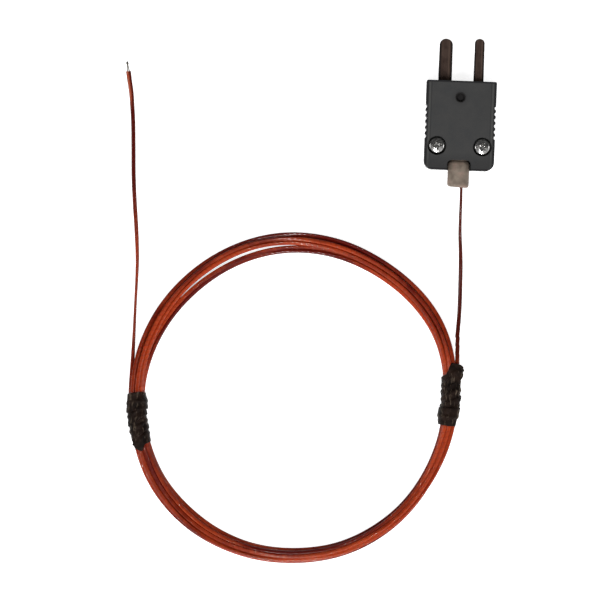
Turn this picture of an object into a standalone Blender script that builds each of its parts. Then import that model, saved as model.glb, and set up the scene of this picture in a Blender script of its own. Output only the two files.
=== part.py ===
"""Thermocouple probe: a miniature flat-pin plug, a rubber grommet, a coil of fine duplex wire
held by two twist ties, and a bare measuring junction at the wire's free end.

The plug lies on its back on Z = 0 with its pins towards +Y. The coil lies on the same
surface, behind and to the left of it. Run with: blender --background --python part.py
All sizes are in metres.
"""
import math

import bmesh
import bpy
from mathutils import Matrix, Vector

# Plug body
BODY_WIDTH = 0.0165
BODY_LENGTH = 0.0210
BODY_THICKNESS = 0.0079
WALL = 0.0016
FLOOR = 0.0013
REAR_CORNER = 0.0018
FRONT_CORNER = 0.0005
TOP_BEVEL = 0.0006
SEAT_GAP = 0.00015
CUT_MARGIN = 0.0005

# Finger grips on the two long sides
GRIP_COUNT = 6
GRIP_PITCH = 0.0014
GRIP_RADIUS = 0.0005
GRIP_DEPTH = 0.00028
GRIP_SETBACK = 0.0062

# Flat pins and their terminal tabs
BLADE_SPACING = 0.0079
BLADE_REACH = 0.0100
BLADE_THICKNESS = 0.0008
BLADE_EDGE = 0.00012
WIDE_BLADE_WIDTH = 0.0031
WIDE_BLADE_TIP = 0.0015
NARROW_BLADE_WIDTH = 0.0023
NARROW_BLADE_TIP = 0.0009
TAB_WIDTH = 0.0044
TAB_LENGTH = 0.0072
TAB_CORNER = 0.0006

# Terminal screws, inside the plug
TERMINAL_SETBACK = 0.0062
TERMINAL_SHANK_RADIUS = 0.0010
TERMINAL_SHANK_LENGTH = 0.0036
TERMINAL_HEAD_RADIUS = 0.0019
TERMINAL_HEAD_HEIGHT = 0.0010
TERMINAL_WASHER_RADIUS = 0.0020
TERMINAL_WASHER_THICKNESS = 0.00035
LEAD_ROOM = 0.0024

# Cover screws and the inserts that they turn into
COVER_SCREW_FROM_SIDE = 0.0029
COVER_SCREW_FROM_REAR = 0.0056
COVER_HEAD_RADIUS = 0.00195
COVER_HEAD_HEIGHT = 0.00125
COVER_SHANK_RADIUS = 0.0011
WELL_RADIUS = 0.0023
WELL_DEPTH = 0.0017
INSERT_RADIUS = 0.0018
INSERT_LENGTH = 0.0021
BOSS_WALL = 0.0014

# Cross recesses in the screw heads
RECESS_SHARE = 0.62
RECESS_SLOT = 0.0006
RECESS_DEPTH = 0.0007
RECESS_TAPER = 0.55

# Round mark in the cover, near the pins
DIMPLE_RADIUS = 0.00115
DIMPLE_DEPTH = 0.0007
DIMPLE_SETBACK = 0.0037

# Rubber grommet at the cable end
GROMMET_REACH = 0.0040
GROMMET_RADIUS = 0.00255
GROMMET_ROUNDING = 0.0006
GROMMET_NECK_RADIUS = 0.0021
GROMMET_FLANGE_RADIUS = 0.0025
GROMMET_FLANGE_LENGTH = 0.0012
GROMMET_BORE_RADIUS = 0.00145
NOTCH_DEPTH = 0.0022
NOTCH_CORNER = 0.0012
NECK_WALL = 0.0015
CHANNEL_WIDTH = 0.0026
CHANNEL_HEIGHT = 0.0040

# Duplex wire, its two conductors and the welded bead
WIRE_DIAMETER = 0.0009
WIRE_POINT_SPACING = 0.0022
CONDUCTOR_DIAMETER = 0.00025
CONDUCTOR_SPACING = 0.0004
CONDUCTOR_POINT_SPACING = 0.0006
BARE_LENGTH = 0.0015
BEAD_RADIUS = 0.00028
LEAD_LOOP_RADIUS = 0.00145
LEAD_LOOP_TURN = 270.0

# Coil of wire and its two twist ties
COIL_CENTRE = (-0.0369, -0.0687)
COIL_RADIUS = 0.0370
COIL_SECTION_WIDTH = 0.0030
COIL_SECTION_HEIGHT = 0.0028
TIE_CLEARANCE = 0.0003
TIE_THICKNESS = 0.0003
TIE_RIB = 0.00025
TIE_BAND = 0.0032
TIE_PITCH = 0.0035
RIGHT_TIE_LENGTH = 0.01475
RIGHT_TIE_ANGLE = 2.3
RIGHT_TIE_START = -8.0
LEFT_TIE_LENGTH = 0.0132
LEFT_TIE_ANGLE = 189.2
LEFT_TIE_START = 117.0

# Fineness of round shapes
TURN_STEPS = 24
SMALL_TURN_STEPS = 16
COIL_STEPS = 80
COIL_SECTION_POINTS = 12
TIE_STEPS_PER_TURN = 20

# Places worked out from the sizes above
OVERALL_LENGTH = BLADE_REACH + BODY_LENGTH + GROMMET_REACH
FRONT_Y = OVERALL_LENGTH / 2 - BLADE_REACH
REAR_Y = FRONT_Y - BODY_LENGTH
CAVITY_FRONT_Y = FRONT_Y - WALL
TAB_FRONT_Y = CAVITY_FRONT_Y - SEAT_GAP
TAB_REAR_Y = TAB_FRONT_Y - TAB_LENGTH
TERMINAL_Y = FRONT_Y - TERMINAL_SETBACK
COVER_SCREW_X = BODY_WIDTH / 2 - COVER_SCREW_FROM_SIDE
COVER_SCREW_Y = REAR_Y + COVER_SCREW_FROM_REAR
CAVITY_REAR_Y = COVER_SCREW_Y + WELL_RADIUS + BOSS_WALL
NOTCH_Y = REAR_Y + NOTCH_DEPTH
NECK_Y = NOTCH_Y + NECK_WALL
FLANGE_POCKET_Y = NECK_Y + GROMMET_FLANGE_LENGTH + 2 * SEAT_GAP
GROMMET_END_Y = REAR_Y - GROMMET_REACH
CAVITY_HALF_WIDTH = BODY_WIDTH / 2 - WALL

SPLIT_Z = BODY_THICKNESS / 2
BLADE_TOP_Z = SPLIT_Z + BLADE_THICKNESS / 2
LEAD_Z = BLADE_TOP_Z + SEAT_GAP + CONDUCTOR_DIAMETER / 2
WASHER_Z = LEAD_Z + CONDUCTOR_DIAMETER / 2 + SEAT_GAP
TERMINAL_HEAD_Z = WASHER_Z + TERMINAL_WASHER_THICKNESS + SEAT_GAP
COVER_HEAD_Z = BODY_THICKNESS - WELL_DEPTH + SEAT_GAP
INSERT_TOP_Z = SPLIT_Z - 2 * SEAT_GAP
WIRE_FLOOR_Z = WIRE_DIAMETER / 2 + 0.00005
TIE_OUTER_RADIUS = COIL_SECTION_WIDTH / 2 + TIE_CLEARANCE + TIE_THICKNESS + TIE_RIB
COIL_Z = TIE_OUTER_RADIUS

# The wire's route from inside the grommet to the coil, and from the coil to the bare end
PLUG_TAIL_ROUTE = [
    (0.00035, FLANGE_POCKET_Y - 0.0007, SPLIT_Z),
    (0.00055, NOTCH_Y - 0.0012, SPLIT_Z - 0.00002),
    (0.00072, GROMMET_END_Y + 0.0020, SPLIT_Z - 0.00006),
    (0.00080, GROMMET_END_Y, SPLIT_Z - 0.00012),
    (0.00084, -0.0191, 0.00372),
    (0.00087, -0.0213, 0.00344),
    (0.00088, -0.0247, 0.00272),
    (0.00097, -0.0285, 0.00184),
    (0.00125, -0.0323, 0.00108),
    (0.00144, -0.0360, 0.00062),
    (0.00151, -0.0398, WIRE_FLOOR_Z),
    (0.00155, -0.0436, WIRE_FLOOR_Z),
    (0.00152, -0.0474, 0.00054),
    (0.00143, -0.0511, 0.00078),
    (0.00132, -0.0547, 0.00136),
    (0.00123, -0.0575, 0.00196),
    (0.00120, -0.0590, 0.00220),
]
TIP_TAIL_ROUTE = [
    (-0.07513, -0.0594, 0.00110),
    (-0.07509, -0.0563, 0.00068),
    (-0.07508, -0.0520, WIRE_FLOOR_Z),
    (-0.07503, -0.0470, WIRE_FLOOR_Z),
    (-0.07496, -0.0426, WIRE_FLOOR_Z),
    (-0.07496, -0.0379, WIRE_FLOOR_Z),
    (-0.07537, -0.0313, WIRE_FLOOR_Z),
    (-0.07609, -0.0238, WIRE_FLOOR_Z),
    (-0.07655, -0.0181, WIRE_FLOOR_Z),
    (-0.07688, -0.0106, WIRE_FLOOR_Z),
    (-0.07716, -0.0049, WIRE_FLOOR_Z),
    (-0.07749, -0.0012, WIRE_FLOOR_Z),
    (-0.07793, 0.0026, WIRE_FLOOR_Z),
    (-0.07828, 0.0045, WIRE_FLOOR_Z),
    (-0.07872, 0.0071, WIRE_FLOOR_Z),
]


# Scene, collections and materials

def clear_scene():
    for thing in list(bpy.data.objects):
        bpy.data.objects.remove(thing, do_unlink=True)


def new_collection(name):
    collection = bpy.data.collections.new(name)
    bpy.context.scene.collection.children.link(collection)
    return collection


def new_material(name, colour, roughness, metallic=0.0):
    material = bpy.data.materials.new(name)
    material.use_nodes = True
    shader = material.node_tree.nodes["Principled BSDF"]
    shader.inputs["Base Color"].default_value = (*colour, 1.0)
    shader.inputs["Roughness"].default_value = roughness
    shader.inputs["Metallic"].default_value = metallic
    material.diffuse_color = (*colour, 1.0)
    return material


def add_object(name, data, material, parent, location=(0, 0, 0)):
    thing = bpy.data.objects.new(name, data)
    PARTS.objects.link(thing)
    thing.data.materials.append(material)
    thing.parent = parent
    thing.location = location
    return thing


def add_empty(name, location=(0, 0, 0)):
    empty = bpy.data.objects.new(name, None)
    PARTS.objects.link(empty)
    empty.location = location
    return empty


# Meshes

def mesh_from(bm, name, smooth_angle=None):
    mesh = bpy.data.meshes.new(name)
    bmesh.ops.recalc_face_normals(bm, faces=bm.faces)
    if bm.calc_volume(signed=True) < 0:
        bmesh.ops.reverse_faces(bm, faces=bm.faces)
    bm.to_mesh(mesh)
    bm.free()
    if smooth_angle:
        mesh.shade_smooth()
        mesh.set_sharp_from_angle(angle=math.radians(smooth_angle))
    return mesh


def add_box(bm, low, high):
    """Add a box between two corners and return its vertices."""
    low, high = Vector(low), Vector(high)
    made = bmesh.ops.create_cube(bm, size=1.0)["verts"]
    bmesh.ops.scale(bm, vec=high - low, verts=made)
    bmesh.ops.translate(bm, vec=(low + high) / 2, verts=made)
    return made


def round_edges(bm, edges, radius, segments):
    bmesh.ops.bevel(bm, geom=list(edges), offset=radius, offset_type="OFFSET", segments=segments,
                    profile=0.5, affect="EDGES", material=-1)


def upright(edge):
    a, b = edge.verts
    return abs(a.co.x - b.co.x) + abs(a.co.y - b.co.y) < abs(a.co.z - b.co.z) * 0.01


def arc(centre, radius, start, end, steps):
    """Points of an arc in a plane, from one angle to another in degrees."""
    points = []
    for step in range(steps + 1):
        angle = math.radians(start + (end - start) * step / steps)
        points.append((centre[0] + radius * math.cos(angle), centre[1] + radius * math.sin(angle)))
    return points


def turned(name, profile, steps, closed=False):
    """A mesh with the profile's points, and the Screw modifier's settings that turn it."""
    bm = bmesh.new()
    verts = [bm.verts.new((x, 0.0, z)) for x, z in profile]
    for first, second in zip(verts, verts[1:]):
        bm.edges.new((first, second))
    if closed:
        bm.edges.new((verts[-1], verts[0]))
    mesh = bpy.data.meshes.new(name)
    bm.to_mesh(mesh)
    bm.free()
    return mesh, steps


def add_turned(name, profile, steps, material, parent, location, closed=False):
    mesh, steps = turned(name, profile, steps, closed)
    thing = add_object(name, mesh, material, parent, location)
    add_screw(thing, steps)
    return thing


def add_screw(thing, steps):
    screw = thing.modifiers.new("Turn", "SCREW")
    screw.axis = "Z"
    screw.angle = math.tau
    screw.steps = steps
    screw.render_steps = steps
    screw.use_merge_vertices = True
    screw.merge_threshold = 0.000001
    screw.use_smooth_shade = True


# Cutters

def add_cutter(name, mesh, location=(0, 0, 0)):
    cutter = bpy.data.objects.new(name, mesh)
    CUTTERS.objects.link(cutter)
    cutter.location = location
    cutter.display_type = "WIRE"
    cutter.hide_render = True
    return cutter


def box_cutter(name, low, high, corner=0.0):
    bm = bmesh.new()
    add_box(bm, low, high)
    if corner:
        round_edges(bm, [e for e in bm.edges if upright(e)], corner, 4)
    return add_cutter(name, mesh_from(bm, name))


def round_cutter(name, centre, radius, low_z, high_z):
    bm = bmesh.new()
    bmesh.ops.create_cone(bm, cap_ends=True, cap_tris=False, segments=TURN_STEPS, radius1=radius,
                          radius2=radius, depth=high_z - low_z)
    return add_cutter(name, mesh_from(bm, name), (centre[0], centre[1], (low_z + high_z) / 2))


def cut(thing, *cutters):
    for cutter in cutters:
        boolean = thing.modifiers.new(cutter.name, "BOOLEAN")
        boolean.operation = "DIFFERENCE"
        boolean.solver = "EXACT"
        boolean.object = cutter


def cross_cutter(name, centre, head_radius, top_z):
    """A tapered cross, as a driver's tip, standing a little out of the screw's head."""
    arm = head_radius * RECESS_SHARE
    half = RECESS_SLOT / 2
    outline = [(arm, half), (half, half), (half, arm), (-half, arm), (-half, half), (-arm, half),
               (-arm, -half), (-half, -half), (-half, -arm), (half, -arm), (half, -half), (arm, -half)]
    bm = bmesh.new()
    top = bm.faces.new([bm.verts.new((x, y, CUT_MARGIN)) for x, y in outline])
    made = bmesh.ops.extrude_face_region(bm, geom=[top])["geom"]
    bottom = [item for item in made if isinstance(item, bmesh.types.BMVert)]
    bmesh.ops.translate(bm, vec=(0, 0, -RECESS_DEPTH - CUT_MARGIN), verts=bottom)
    bmesh.ops.scale(bm, vec=(RECESS_TAPER, RECESS_TAPER, 1.0), verts=bottom)
    return add_cutter(name, mesh_from(bm, name), (centre[0], centre[1], top_z))


def grip_cutter():
    """Upright grooves along both long sides of the body."""
    bm = bmesh.new()
    offset = BODY_WIDTH / 2 + GRIP_RADIUS - GRIP_DEPTH
    height = BODY_THICKNESS + 2 * CUT_MARGIN
    for side in (-1, 1):
        for index in range(GRIP_COUNT):
            made = bmesh.ops.create_cone(bm, cap_ends=True, cap_tris=False, segments=12, depth=height,
                                         radius1=GRIP_RADIUS, radius2=GRIP_RADIUS)["verts"]
            y = FRONT_Y - GRIP_SETBACK - index * GRIP_PITCH
            bmesh.ops.translate(bm, vec=(side * offset, y, SPLIT_Z), verts=made)
    return add_cutter("grip_cutter", mesh_from(bm, "grip_cutter"))


def grommet_seat_cutter():
    """The stepped hollow that grips the grommet: wide in the notch, narrow at its neck."""
    start = -CUT_MARGIN
    notch = NOTCH_DEPTH
    neck = notch + NECK_WALL
    pocket = FLANGE_POCKET_Y - REAR_Y
    profile = [(0.0, pocket), (GROMMET_FLANGE_RADIUS + SEAT_GAP, pocket),
               (GROMMET_FLANGE_RADIUS + SEAT_GAP, neck), (GROMMET_NECK_RADIUS + SEAT_GAP, neck),
               (GROMMET_NECK_RADIUS + SEAT_GAP, notch), (GROMMET_RADIUS + SEAT_GAP, notch),
               (GROMMET_RADIUS + SEAT_GAP, start), (0.0, start)]
    mesh, steps = turned("grommet_seat_cutter", profile, TURN_STEPS)
    cutter = add_cutter("grommet_seat_cutter", mesh, (0, REAR_Y, SPLIT_Z))
    cutter.rotation_euler = (-math.pi / 2, 0, 0)
    add_screw(cutter, steps)
    return cutter


def blade_slot_cutter(name, x, width):
    half = width / 2 + SEAT_GAP
    depth = BLADE_THICKNESS / 2 + SEAT_GAP
    return box_cutter(name, (x - half, CAVITY_FRONT_Y - CUT_MARGIN, SPLIT_Z - depth),
                      (x + half, FRONT_Y + CUT_MARGIN, SPLIT_Z + depth))


# The plug's two shells

def shell_blank(name, low_z, high_z, outer_z):
    """Half of the body: rounded upright corners, and a bevel round its outer face."""
    bm = bmesh.new()
    add_box(bm, (-BODY_WIDTH / 2, REAR_Y, low_z), (BODY_WIDTH / 2, FRONT_Y, high_z))
    uprights = [e for e in bm.edges if upright(e)]
    rear = [e for e in uprights if e.verts[0].co.y < (FRONT_Y + REAR_Y) / 2]
    front = [e for e in uprights if e not in rear]
    round_edges(bm, rear, REAR_CORNER, 6)
    round_edges(bm, front, FRONT_CORNER, 2)
    rim = [e for e in bm.edges if all(abs(v.co.z - outer_z) < SEAT_GAP / 10 for v in e.verts)]
    round_edges(bm, rim, TOP_BEVEL, 3)
    return mesh_from(bm, name, 35)


def shared_cutters():
    """The hollows that run through both shells alike."""
    return [
        grommet_seat_cutter(),
        blade_slot_cutter("wide_slot_cutter", -BLADE_SPACING / 2, WIDE_BLADE_WIDTH),
        blade_slot_cutter("narrow_slot_cutter", BLADE_SPACING / 2, NARROW_BLADE_WIDTH),
        box_cutter("channel_cutter", (-CHANNEL_WIDTH / 2, FLANGE_POCKET_Y - SEAT_GAP, SPLIT_Z - CHANNEL_HEIGHT / 2),
                   (CHANNEL_WIDTH / 2, CAVITY_REAR_Y + CUT_MARGIN, SPLIT_Z + CHANNEL_HEIGHT / 2)),
        grip_cutter(),
    ]


def base_shell(shared):
    top = SPLIT_Z - SEAT_GAP / 2
    mesh = shell_blank("base_shell", 0.0, top, 0.0)
    shell = add_object("base_shell", mesh, BODY_PLASTIC, PLUG)
    tab_seat = SPLIT_Z - BLADE_THICKNESS / 2 - SEAT_GAP
    cut(shell, box_cutter("tab_seat_cutter", (-CAVITY_HALF_WIDTH, CAVITY_REAR_Y, tab_seat),
                          (CAVITY_HALF_WIDTH, CAVITY_FRONT_Y, top + CUT_MARGIN)))
    cut(shell, box_cutter("lead_room_cutter", (-CAVITY_HALF_WIDTH, CAVITY_REAR_Y, FLOOR),
                          (CAVITY_HALF_WIDTH, CAVITY_REAR_Y + LEAD_ROOM, top + CUT_MARGIN)))
    cut(shell, box_cutter("middle_cutter", (-CHANNEL_WIDTH / 2, CAVITY_REAR_Y, FLOOR),
                          (CHANNEL_WIDTH / 2, CAVITY_FRONT_Y, top + CUT_MARGIN)))
    shank_end = TERMINAL_HEAD_Z - TERMINAL_SHANK_LENGTH - SEAT_GAP
    insert_end = INSERT_TOP_Z - INSERT_LENGTH - SEAT_GAP
    for side, word in ((-1, "left"), (1, "right")):
        cut(shell, round_cutter(word + "_shank_bore_cutter", (side * BLADE_SPACING / 2, TERMINAL_Y),
                                TERMINAL_SHANK_RADIUS + SEAT_GAP, shank_end, top + CUT_MARGIN))
        cut(shell, round_cutter(word + "_insert_bore_cutter", (side * COVER_SCREW_X, COVER_SCREW_Y),
                                INSERT_RADIUS + SEAT_GAP, insert_end, top + CUT_MARGIN))
    cut(shell, *shared)


def cover_shell(shared):
    bottom = SPLIT_Z + SEAT_GAP / 2
    mesh = shell_blank("cover_shell", bottom, BODY_THICKNESS, BODY_THICKNESS)
    shell = add_object("cover_shell", mesh, BODY_PLASTIC, PLUG)
    cut(shell, box_cutter("cover_room_cutter", (-CAVITY_HALF_WIDTH, CAVITY_REAR_Y, bottom - CUT_MARGIN),
                          (CAVITY_HALF_WIDTH, CAVITY_FRONT_Y, BODY_THICKNESS - FLOOR)))
    notch_half = GROMMET_RADIUS + 2 * SEAT_GAP
    cut(shell, box_cutter("notch_cutter", (-notch_half, REAR_Y - NOTCH_CORNER - CUT_MARGIN, bottom - CUT_MARGIN),
                          (notch_half, NOTCH_Y + SEAT_GAP, BODY_THICKNESS + CUT_MARGIN), NOTCH_CORNER))
    cut(shell, round_cutter("dimple_cutter", (0.0, FRONT_Y - DIMPLE_SETBACK), DIMPLE_RADIUS,
                            BODY_THICKNESS - DIMPLE_DEPTH, BODY_THICKNESS + CUT_MARGIN))
    for side, word in ((-1, "left"), (1, "right")):
        centre = (side * COVER_SCREW_X, COVER_SCREW_Y)
        cut(shell, round_cutter(word + "_well_cutter", centre, WELL_RADIUS,
                                BODY_THICKNESS - WELL_DEPTH, BODY_THICKNESS + CUT_MARGIN))
        cut(shell, round_cutter(word + "_screw_bore_cutter", centre, COVER_SHANK_RADIUS + SEAT_GAP,
                                bottom - CUT_MARGIN, BODY_THICKNESS - WELL_DEPTH + CUT_MARGIN))
    cut(shell, *shared)


# Flat pins, screws, washers and inserts

def blade(name, x, width, tip_radius, material):
    """A stamped flat pin: rounded tip outside, a wider tab with a screw hole inside."""
    curve = bpy.data.curves.new(name, "CURVE")
    curve.dimensions = "2D"
    curve.fill_mode = "BOTH"
    curve.extrude = BLADE_THICKNESS / 2
    half, tab = width / 2, TAB_WIDTH / 2
    tip = BLADE_REACH - tip_radius
    shoulder, rear = TAB_FRONT_Y - FRONT_Y, TAB_REAR_Y - FRONT_Y
    outline = [(half, shoulder)]
    outline += arc((half - tip_radius, tip), tip_radius, 0, 90, 6)
    outline += arc((tip_radius - half, tip), tip_radius, 90, 180, 6)[0 if half > tip_radius else 1:]
    outline += [(-half, shoulder), (-tab, shoulder)]
    outline += arc((TAB_CORNER - tab, rear + TAB_CORNER), TAB_CORNER, 180, 270, 4)
    outline += arc((tab - TAB_CORNER, rear + TAB_CORNER), TAB_CORNER, 270, 360, 4)
    outline += [(tab, shoulder)]
    hole = arc((0.0, -TERMINAL_SETBACK), TERMINAL_SHANK_RADIUS + SEAT_GAP, 360, 0, SMALL_TURN_STEPS)[:-1]
    for points in (outline, hole):
        spline = curve.splines.new("POLY")
        spline.points.add(len(points) - 1)
        for point, (px, py) in zip(spline.points, points):
            point.co = (px, py, 0.0, 1.0)
        spline.use_cyclic_u = True
    thing = add_object(name, curve, material, PLUG, (x, FRONT_Y, SPLIT_Z))
    weld = thing.modifiers.new("Weld", "WELD")
    weld.merge_threshold = 0.000001
    bevel = thing.modifiers.new("Edges", "BEVEL")
    bevel.width = BLADE_EDGE
    bevel.segments = 1
    bevel.limit_method = "ANGLE"
    bevel.angle_limit = math.radians(60)
    return thing


def pan_head_screw(name, centre, head_z, head_radius, head_height, shank_radius, shank_length):
    """A pan head with a domed top and a cross recess, on a plain shank."""
    chamfer = shank_radius * 0.3
    profile = [(0.0, head_height), (head_radius * 0.45, head_height * 0.96),
               (head_radius * 0.78, head_height * 0.80), (head_radius * 0.95, head_height * 0.52),
               (head_radius, head_height * 0.22), (head_radius, 0.0), (shank_radius, 0.0),
               (shank_radius, chamfer - shank_length), (shank_radius - chamfer, -shank_length),
               (0.0, -shank_length)]
    screw = add_turned(name, profile, TURN_STEPS, SCREW_METAL, PLUG, (*centre, head_z))
    cut(screw, cross_cutter(name + "_recess_cutter", centre, head_radius, head_z + head_height))
    return screw


def ring_piece(name, centre, low_z, thickness, outer, inner, material):
    profile = [(inner, thickness), (outer, thickness), (outer, 0.0), (inner, 0.0)]
    return add_turned(name, profile, TURN_STEPS, material, PLUG, (*centre, low_z), closed=True)


def terminal(word, side):
    centre = (side * BLADE_SPACING / 2, TERMINAL_Y)
    ring_piece("terminal_washer_" + word, centre, WASHER_Z, TERMINAL_WASHER_THICKNESS,
               TERMINAL_WASHER_RADIUS, TERMINAL_SHANK_RADIUS + SEAT_GAP, SCREW_METAL)
    pan_head_screw("terminal_screw_" + word, centre, TERMINAL_HEAD_Z, TERMINAL_HEAD_RADIUS,
                   TERMINAL_HEAD_HEIGHT, TERMINAL_SHANK_RADIUS, TERMINAL_SHANK_LENGTH)


def cover_fastener(word, side):
    centre = (side * COVER_SCREW_X, COVER_SCREW_Y)
    low_z = INSERT_TOP_Z - INSERT_LENGTH
    ring_piece("threaded_insert_" + word, centre, low_z, INSERT_LENGTH, INSERT_RADIUS,
               COVER_SHANK_RADIUS + SEAT_GAP, INSERT_BRASS)
    pan_head_screw("cover_screw_" + word, centre, COVER_HEAD_Z, COVER_HEAD_RADIUS, COVER_HEAD_HEIGHT,
                   COVER_SHANK_RADIUS, COVER_HEAD_Z - low_z - SEAT_GAP)


def grommet():
    """A turned rubber bush: wide outer part, a neck that the shells grip, and an inner flange."""
    outer_length = GROMMET_REACH + NOTCH_DEPTH - SEAT_GAP
    neck_end = GROMMET_REACH + NOTCH_DEPTH + NECK_WALL + SEAT_GAP
    end = neck_end + GROMMET_FLANGE_LENGTH
    rounding = GROMMET_ROUNDING
    profile = [(GROMMET_BORE_RADIUS, end), (GROMMET_FLANGE_RADIUS, end), (GROMMET_FLANGE_RADIUS, neck_end),
               (GROMMET_NECK_RADIUS, neck_end), (GROMMET_NECK_RADIUS, outer_length)]
    profile += arc((GROMMET_RADIUS - rounding, outer_length - rounding), rounding, 90, 0, 4)
    profile += arc((GROMMET_RADIUS - rounding, rounding), rounding, 0, -90, 4)
    profile += [(GROMMET_BORE_RADIUS, 0.0)]
    thing = add_turned("grommet", profile, TURN_STEPS, GROMMET_RUBBER, PLUG, (0, GROMMET_END_Y, SPLIT_Z), True)
    thing.rotation_euler = (-math.pi / 2, 0, 0)


# Wire

def smooth_path(route, spacing):
    """Evenly spaced points on a smooth curve through the route's points."""
    points = [Vector(p) for p in route]
    times = [0.0]
    for a, b in zip(points, points[1:]):
        times.append(times[-1] + (b - a).length)
    slopes = []
    for i in range(len(points)):
        a, b = max(i - 1, 0), min(i + 1, len(points) - 1)
        slopes.append((points[b] - points[a]) / (times[b] - times[a]))
    count = max(2, round(times[-1] / spacing))
    path = []
    segment = 0
    for step in range(count + 1):
        time = times[-1] * step / count
        while segment < len(points) - 2 and time > times[segment + 1]:
            segment += 1
        span = times[segment + 1] - times[segment]
        u = (time - times[segment]) / span
        path.append(points[segment] * (2 * u**3 - 3 * u**2 + 1) + slopes[segment] * span * (u**3 - 2 * u**2 + u)
                    + points[segment + 1] * (3 * u**2 - 2 * u**3)
                    + slopes[segment + 1] * span * (u**3 - u**2))
    return path


def wire(name, path, diameter, material, parent):
    curve = bpy.data.curves.new(name, "CURVE")
    curve.dimensions = "3D"
    curve.bevel_depth = diameter / 2
    curve.bevel_resolution = 2
    curve.use_fill_caps = True
    spline = curve.splines.new("POLY")
    spline.points.add(len(path) - 1)
    for point, place in zip(spline.points, path):
        point.co = (*(place - path[0]), 1.0)
    return add_object(name, curve, material, parent, path[0] - parent.location)


def lead(word, side, entry_x, material):
    """One bare conductor, from the end of the insulation to its loop under the washer."""
    x, y = side * BLADE_SPACING / 2, TERMINAL_Y
    start = Vector(PLUG_TAIL_ROUTE[0]) + Vector((entry_x, WIRE_DIAMETER / 3, 0.0))
    left_edge = x - LEAD_LOOP_RADIUS
    room_y = CAVITY_REAR_Y + LEAD_ROOM / 2
    route = [start, (side * CHANNEL_WIDTH / 5, (start.y + CAVITY_REAR_Y) / 2, SPLIT_Z),
             (side * CHANNEL_WIDTH / 3, CAVITY_REAR_Y, (SPLIT_Z + LEAD_Z) / 2),
             ((side * CHANNEL_WIDTH / 2 + left_edge) / 2, room_y, LEAD_Z),
             (left_edge, (room_y + y) / 2, LEAD_Z)]
    for px, py in arc((x, y), LEAD_LOOP_RADIUS, 180, 180 - LEAD_LOOP_TURN, 12):
        route.append((px, py, LEAD_Z))
    wire("lead_" + word, smooth_path(route, CONDUCTOR_POINT_SPACING), CONDUCTOR_DIAMETER, material, PLUG)


def junction():
    """Two bare conductors that leave the insulation and meet in a welded bead."""
    end, before = Vector(TIP_TAIL_ROUTE[-1]), Vector(TIP_TAIL_ROUTE[-2])
    ahead = (end - before).normalized()
    aside = Vector((ahead.y, -ahead.x, 0.0))
    start = end + ahead * SEAT_GAP
    for word, side, material in (("positive", 1, POSITIVE_ALLOY), ("negative", -1, NEGATIVE_ALLOY)):
        near = aside * side * (CONDUCTOR_DIAMETER / 2 + SEAT_GAP / 2)
        route = [start + aside * side * CONDUCTOR_SPACING / 2, start + ahead * BARE_LENGTH * 0.4 + near,
                 start + ahead * BARE_LENGTH * 0.7 + near, start + ahead * BARE_LENGTH + near]
        wire("junction_wire_" + word, smooth_path(route, CONDUCTOR_POINT_SPACING / 2), CONDUCTOR_DIAMETER,
             material, COIL)
    bm = bmesh.new()
    bmesh.ops.create_uvsphere(bm, u_segments=12, v_segments=8, radius=BEAD_RADIUS)
    centre = start + ahead * (BARE_LENGTH + SEAT_GAP + BEAD_RADIUS)
    bead = add_object("junction_bead", mesh_from(bm, "junction_bead", 60), BEAD_METAL, COIL)
    bead.location = centre - COIL.location


# Coil and ties

def coil_ring():
    """The outer shape of the wound wire, as one plain turned ring."""
    profile = []
    for index in range(COIL_SECTION_POINTS):
        angle = -math.tau * index / COIL_SECTION_POINTS
        profile.append((COIL_RADIUS + COIL_SECTION_WIDTH / 2 * math.cos(angle),
                        COIL_SECTION_HEIGHT / 2 * math.sin(angle)))
    add_turned("coil_ring", profile, COIL_STEPS, WIRE_INSULATION, COIL, (0, 0, COIL_Z), closed=True)


def twist_tie(name, length, middle_angle, start_angle):
    """A ribbon with a wire rib, wound as a helix whose axis follows the coil clockwise."""
    inner = COIL_SECTION_WIDTH / 2 + TIE_CLEARANCE
    outer = inner + TIE_THICKNESS
    crest = outer + TIE_RIB
    turns = (length - TIE_BAND) / TIE_PITCH
    steps = round(turns * TIE_STEPS_PER_TURN)
    profile = [(inner, 0.0), (outer, 0.0), (outer, TIE_BAND * 0.38), (crest, TIE_BAND * 0.5),
               (outer, TIE_BAND * 0.62), (outer, TIE_BAND), (inner, TIE_BAND), (inner, TIE_BAND / 2)]
    bm = bmesh.new()
    face = bm.faces.new([bm.verts.new((x, 0.0, z)) for x, z in profile])
    bmesh.ops.spin(bm, geom=[face], cent=(0, 0, 0), axis=(0, 0, 1), angle=math.tau * turns, steps=steps,
                   dvec=(0, 0, turns * TIE_PITCH / steps), use_merge=False, use_duplicate=False)
    bmesh.ops.rotate(bm, cent=(0, 0, 0), matrix=Matrix.Rotation(math.radians(start_angle), 3, "Z"), verts=bm.verts)
    middle = math.radians(middle_angle)
    for vert in bm.verts:
        turn = middle - (vert.co.z - length / 2) / COIL_RADIUS
        reach = COIL_RADIUS + vert.co.x
        vert.co = (reach * math.cos(turn), reach * math.sin(turn), vert.co.y)
    add_object(name, mesh_from(bm, name, 40), TIE_PLASTIC, COIL, (0, 0, COIL_Z))


def build_plug():
    shared = shared_cutters()
    base_shell(shared)
    cover_shell(shared)
    blade("blade_wide", -BLADE_SPACING / 2, WIDE_BLADE_WIDTH, WIDE_BLADE_TIP, BLADE_METAL)
    blade("blade_narrow", BLADE_SPACING / 2, NARROW_BLADE_WIDTH, NARROW_BLADE_TIP, BLADE_METAL)
    terminal("wide", -1)
    terminal("narrow", 1)
    cover_fastener("left", -1)
    cover_fastener("right", 1)
    grommet()
    lead("negative", -1, -CONDUCTOR_SPACING / 2, NEGATIVE_ALLOY)
    lead("positive", 1, CONDUCTOR_SPACING / 2, POSITIVE_ALLOY)


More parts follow.
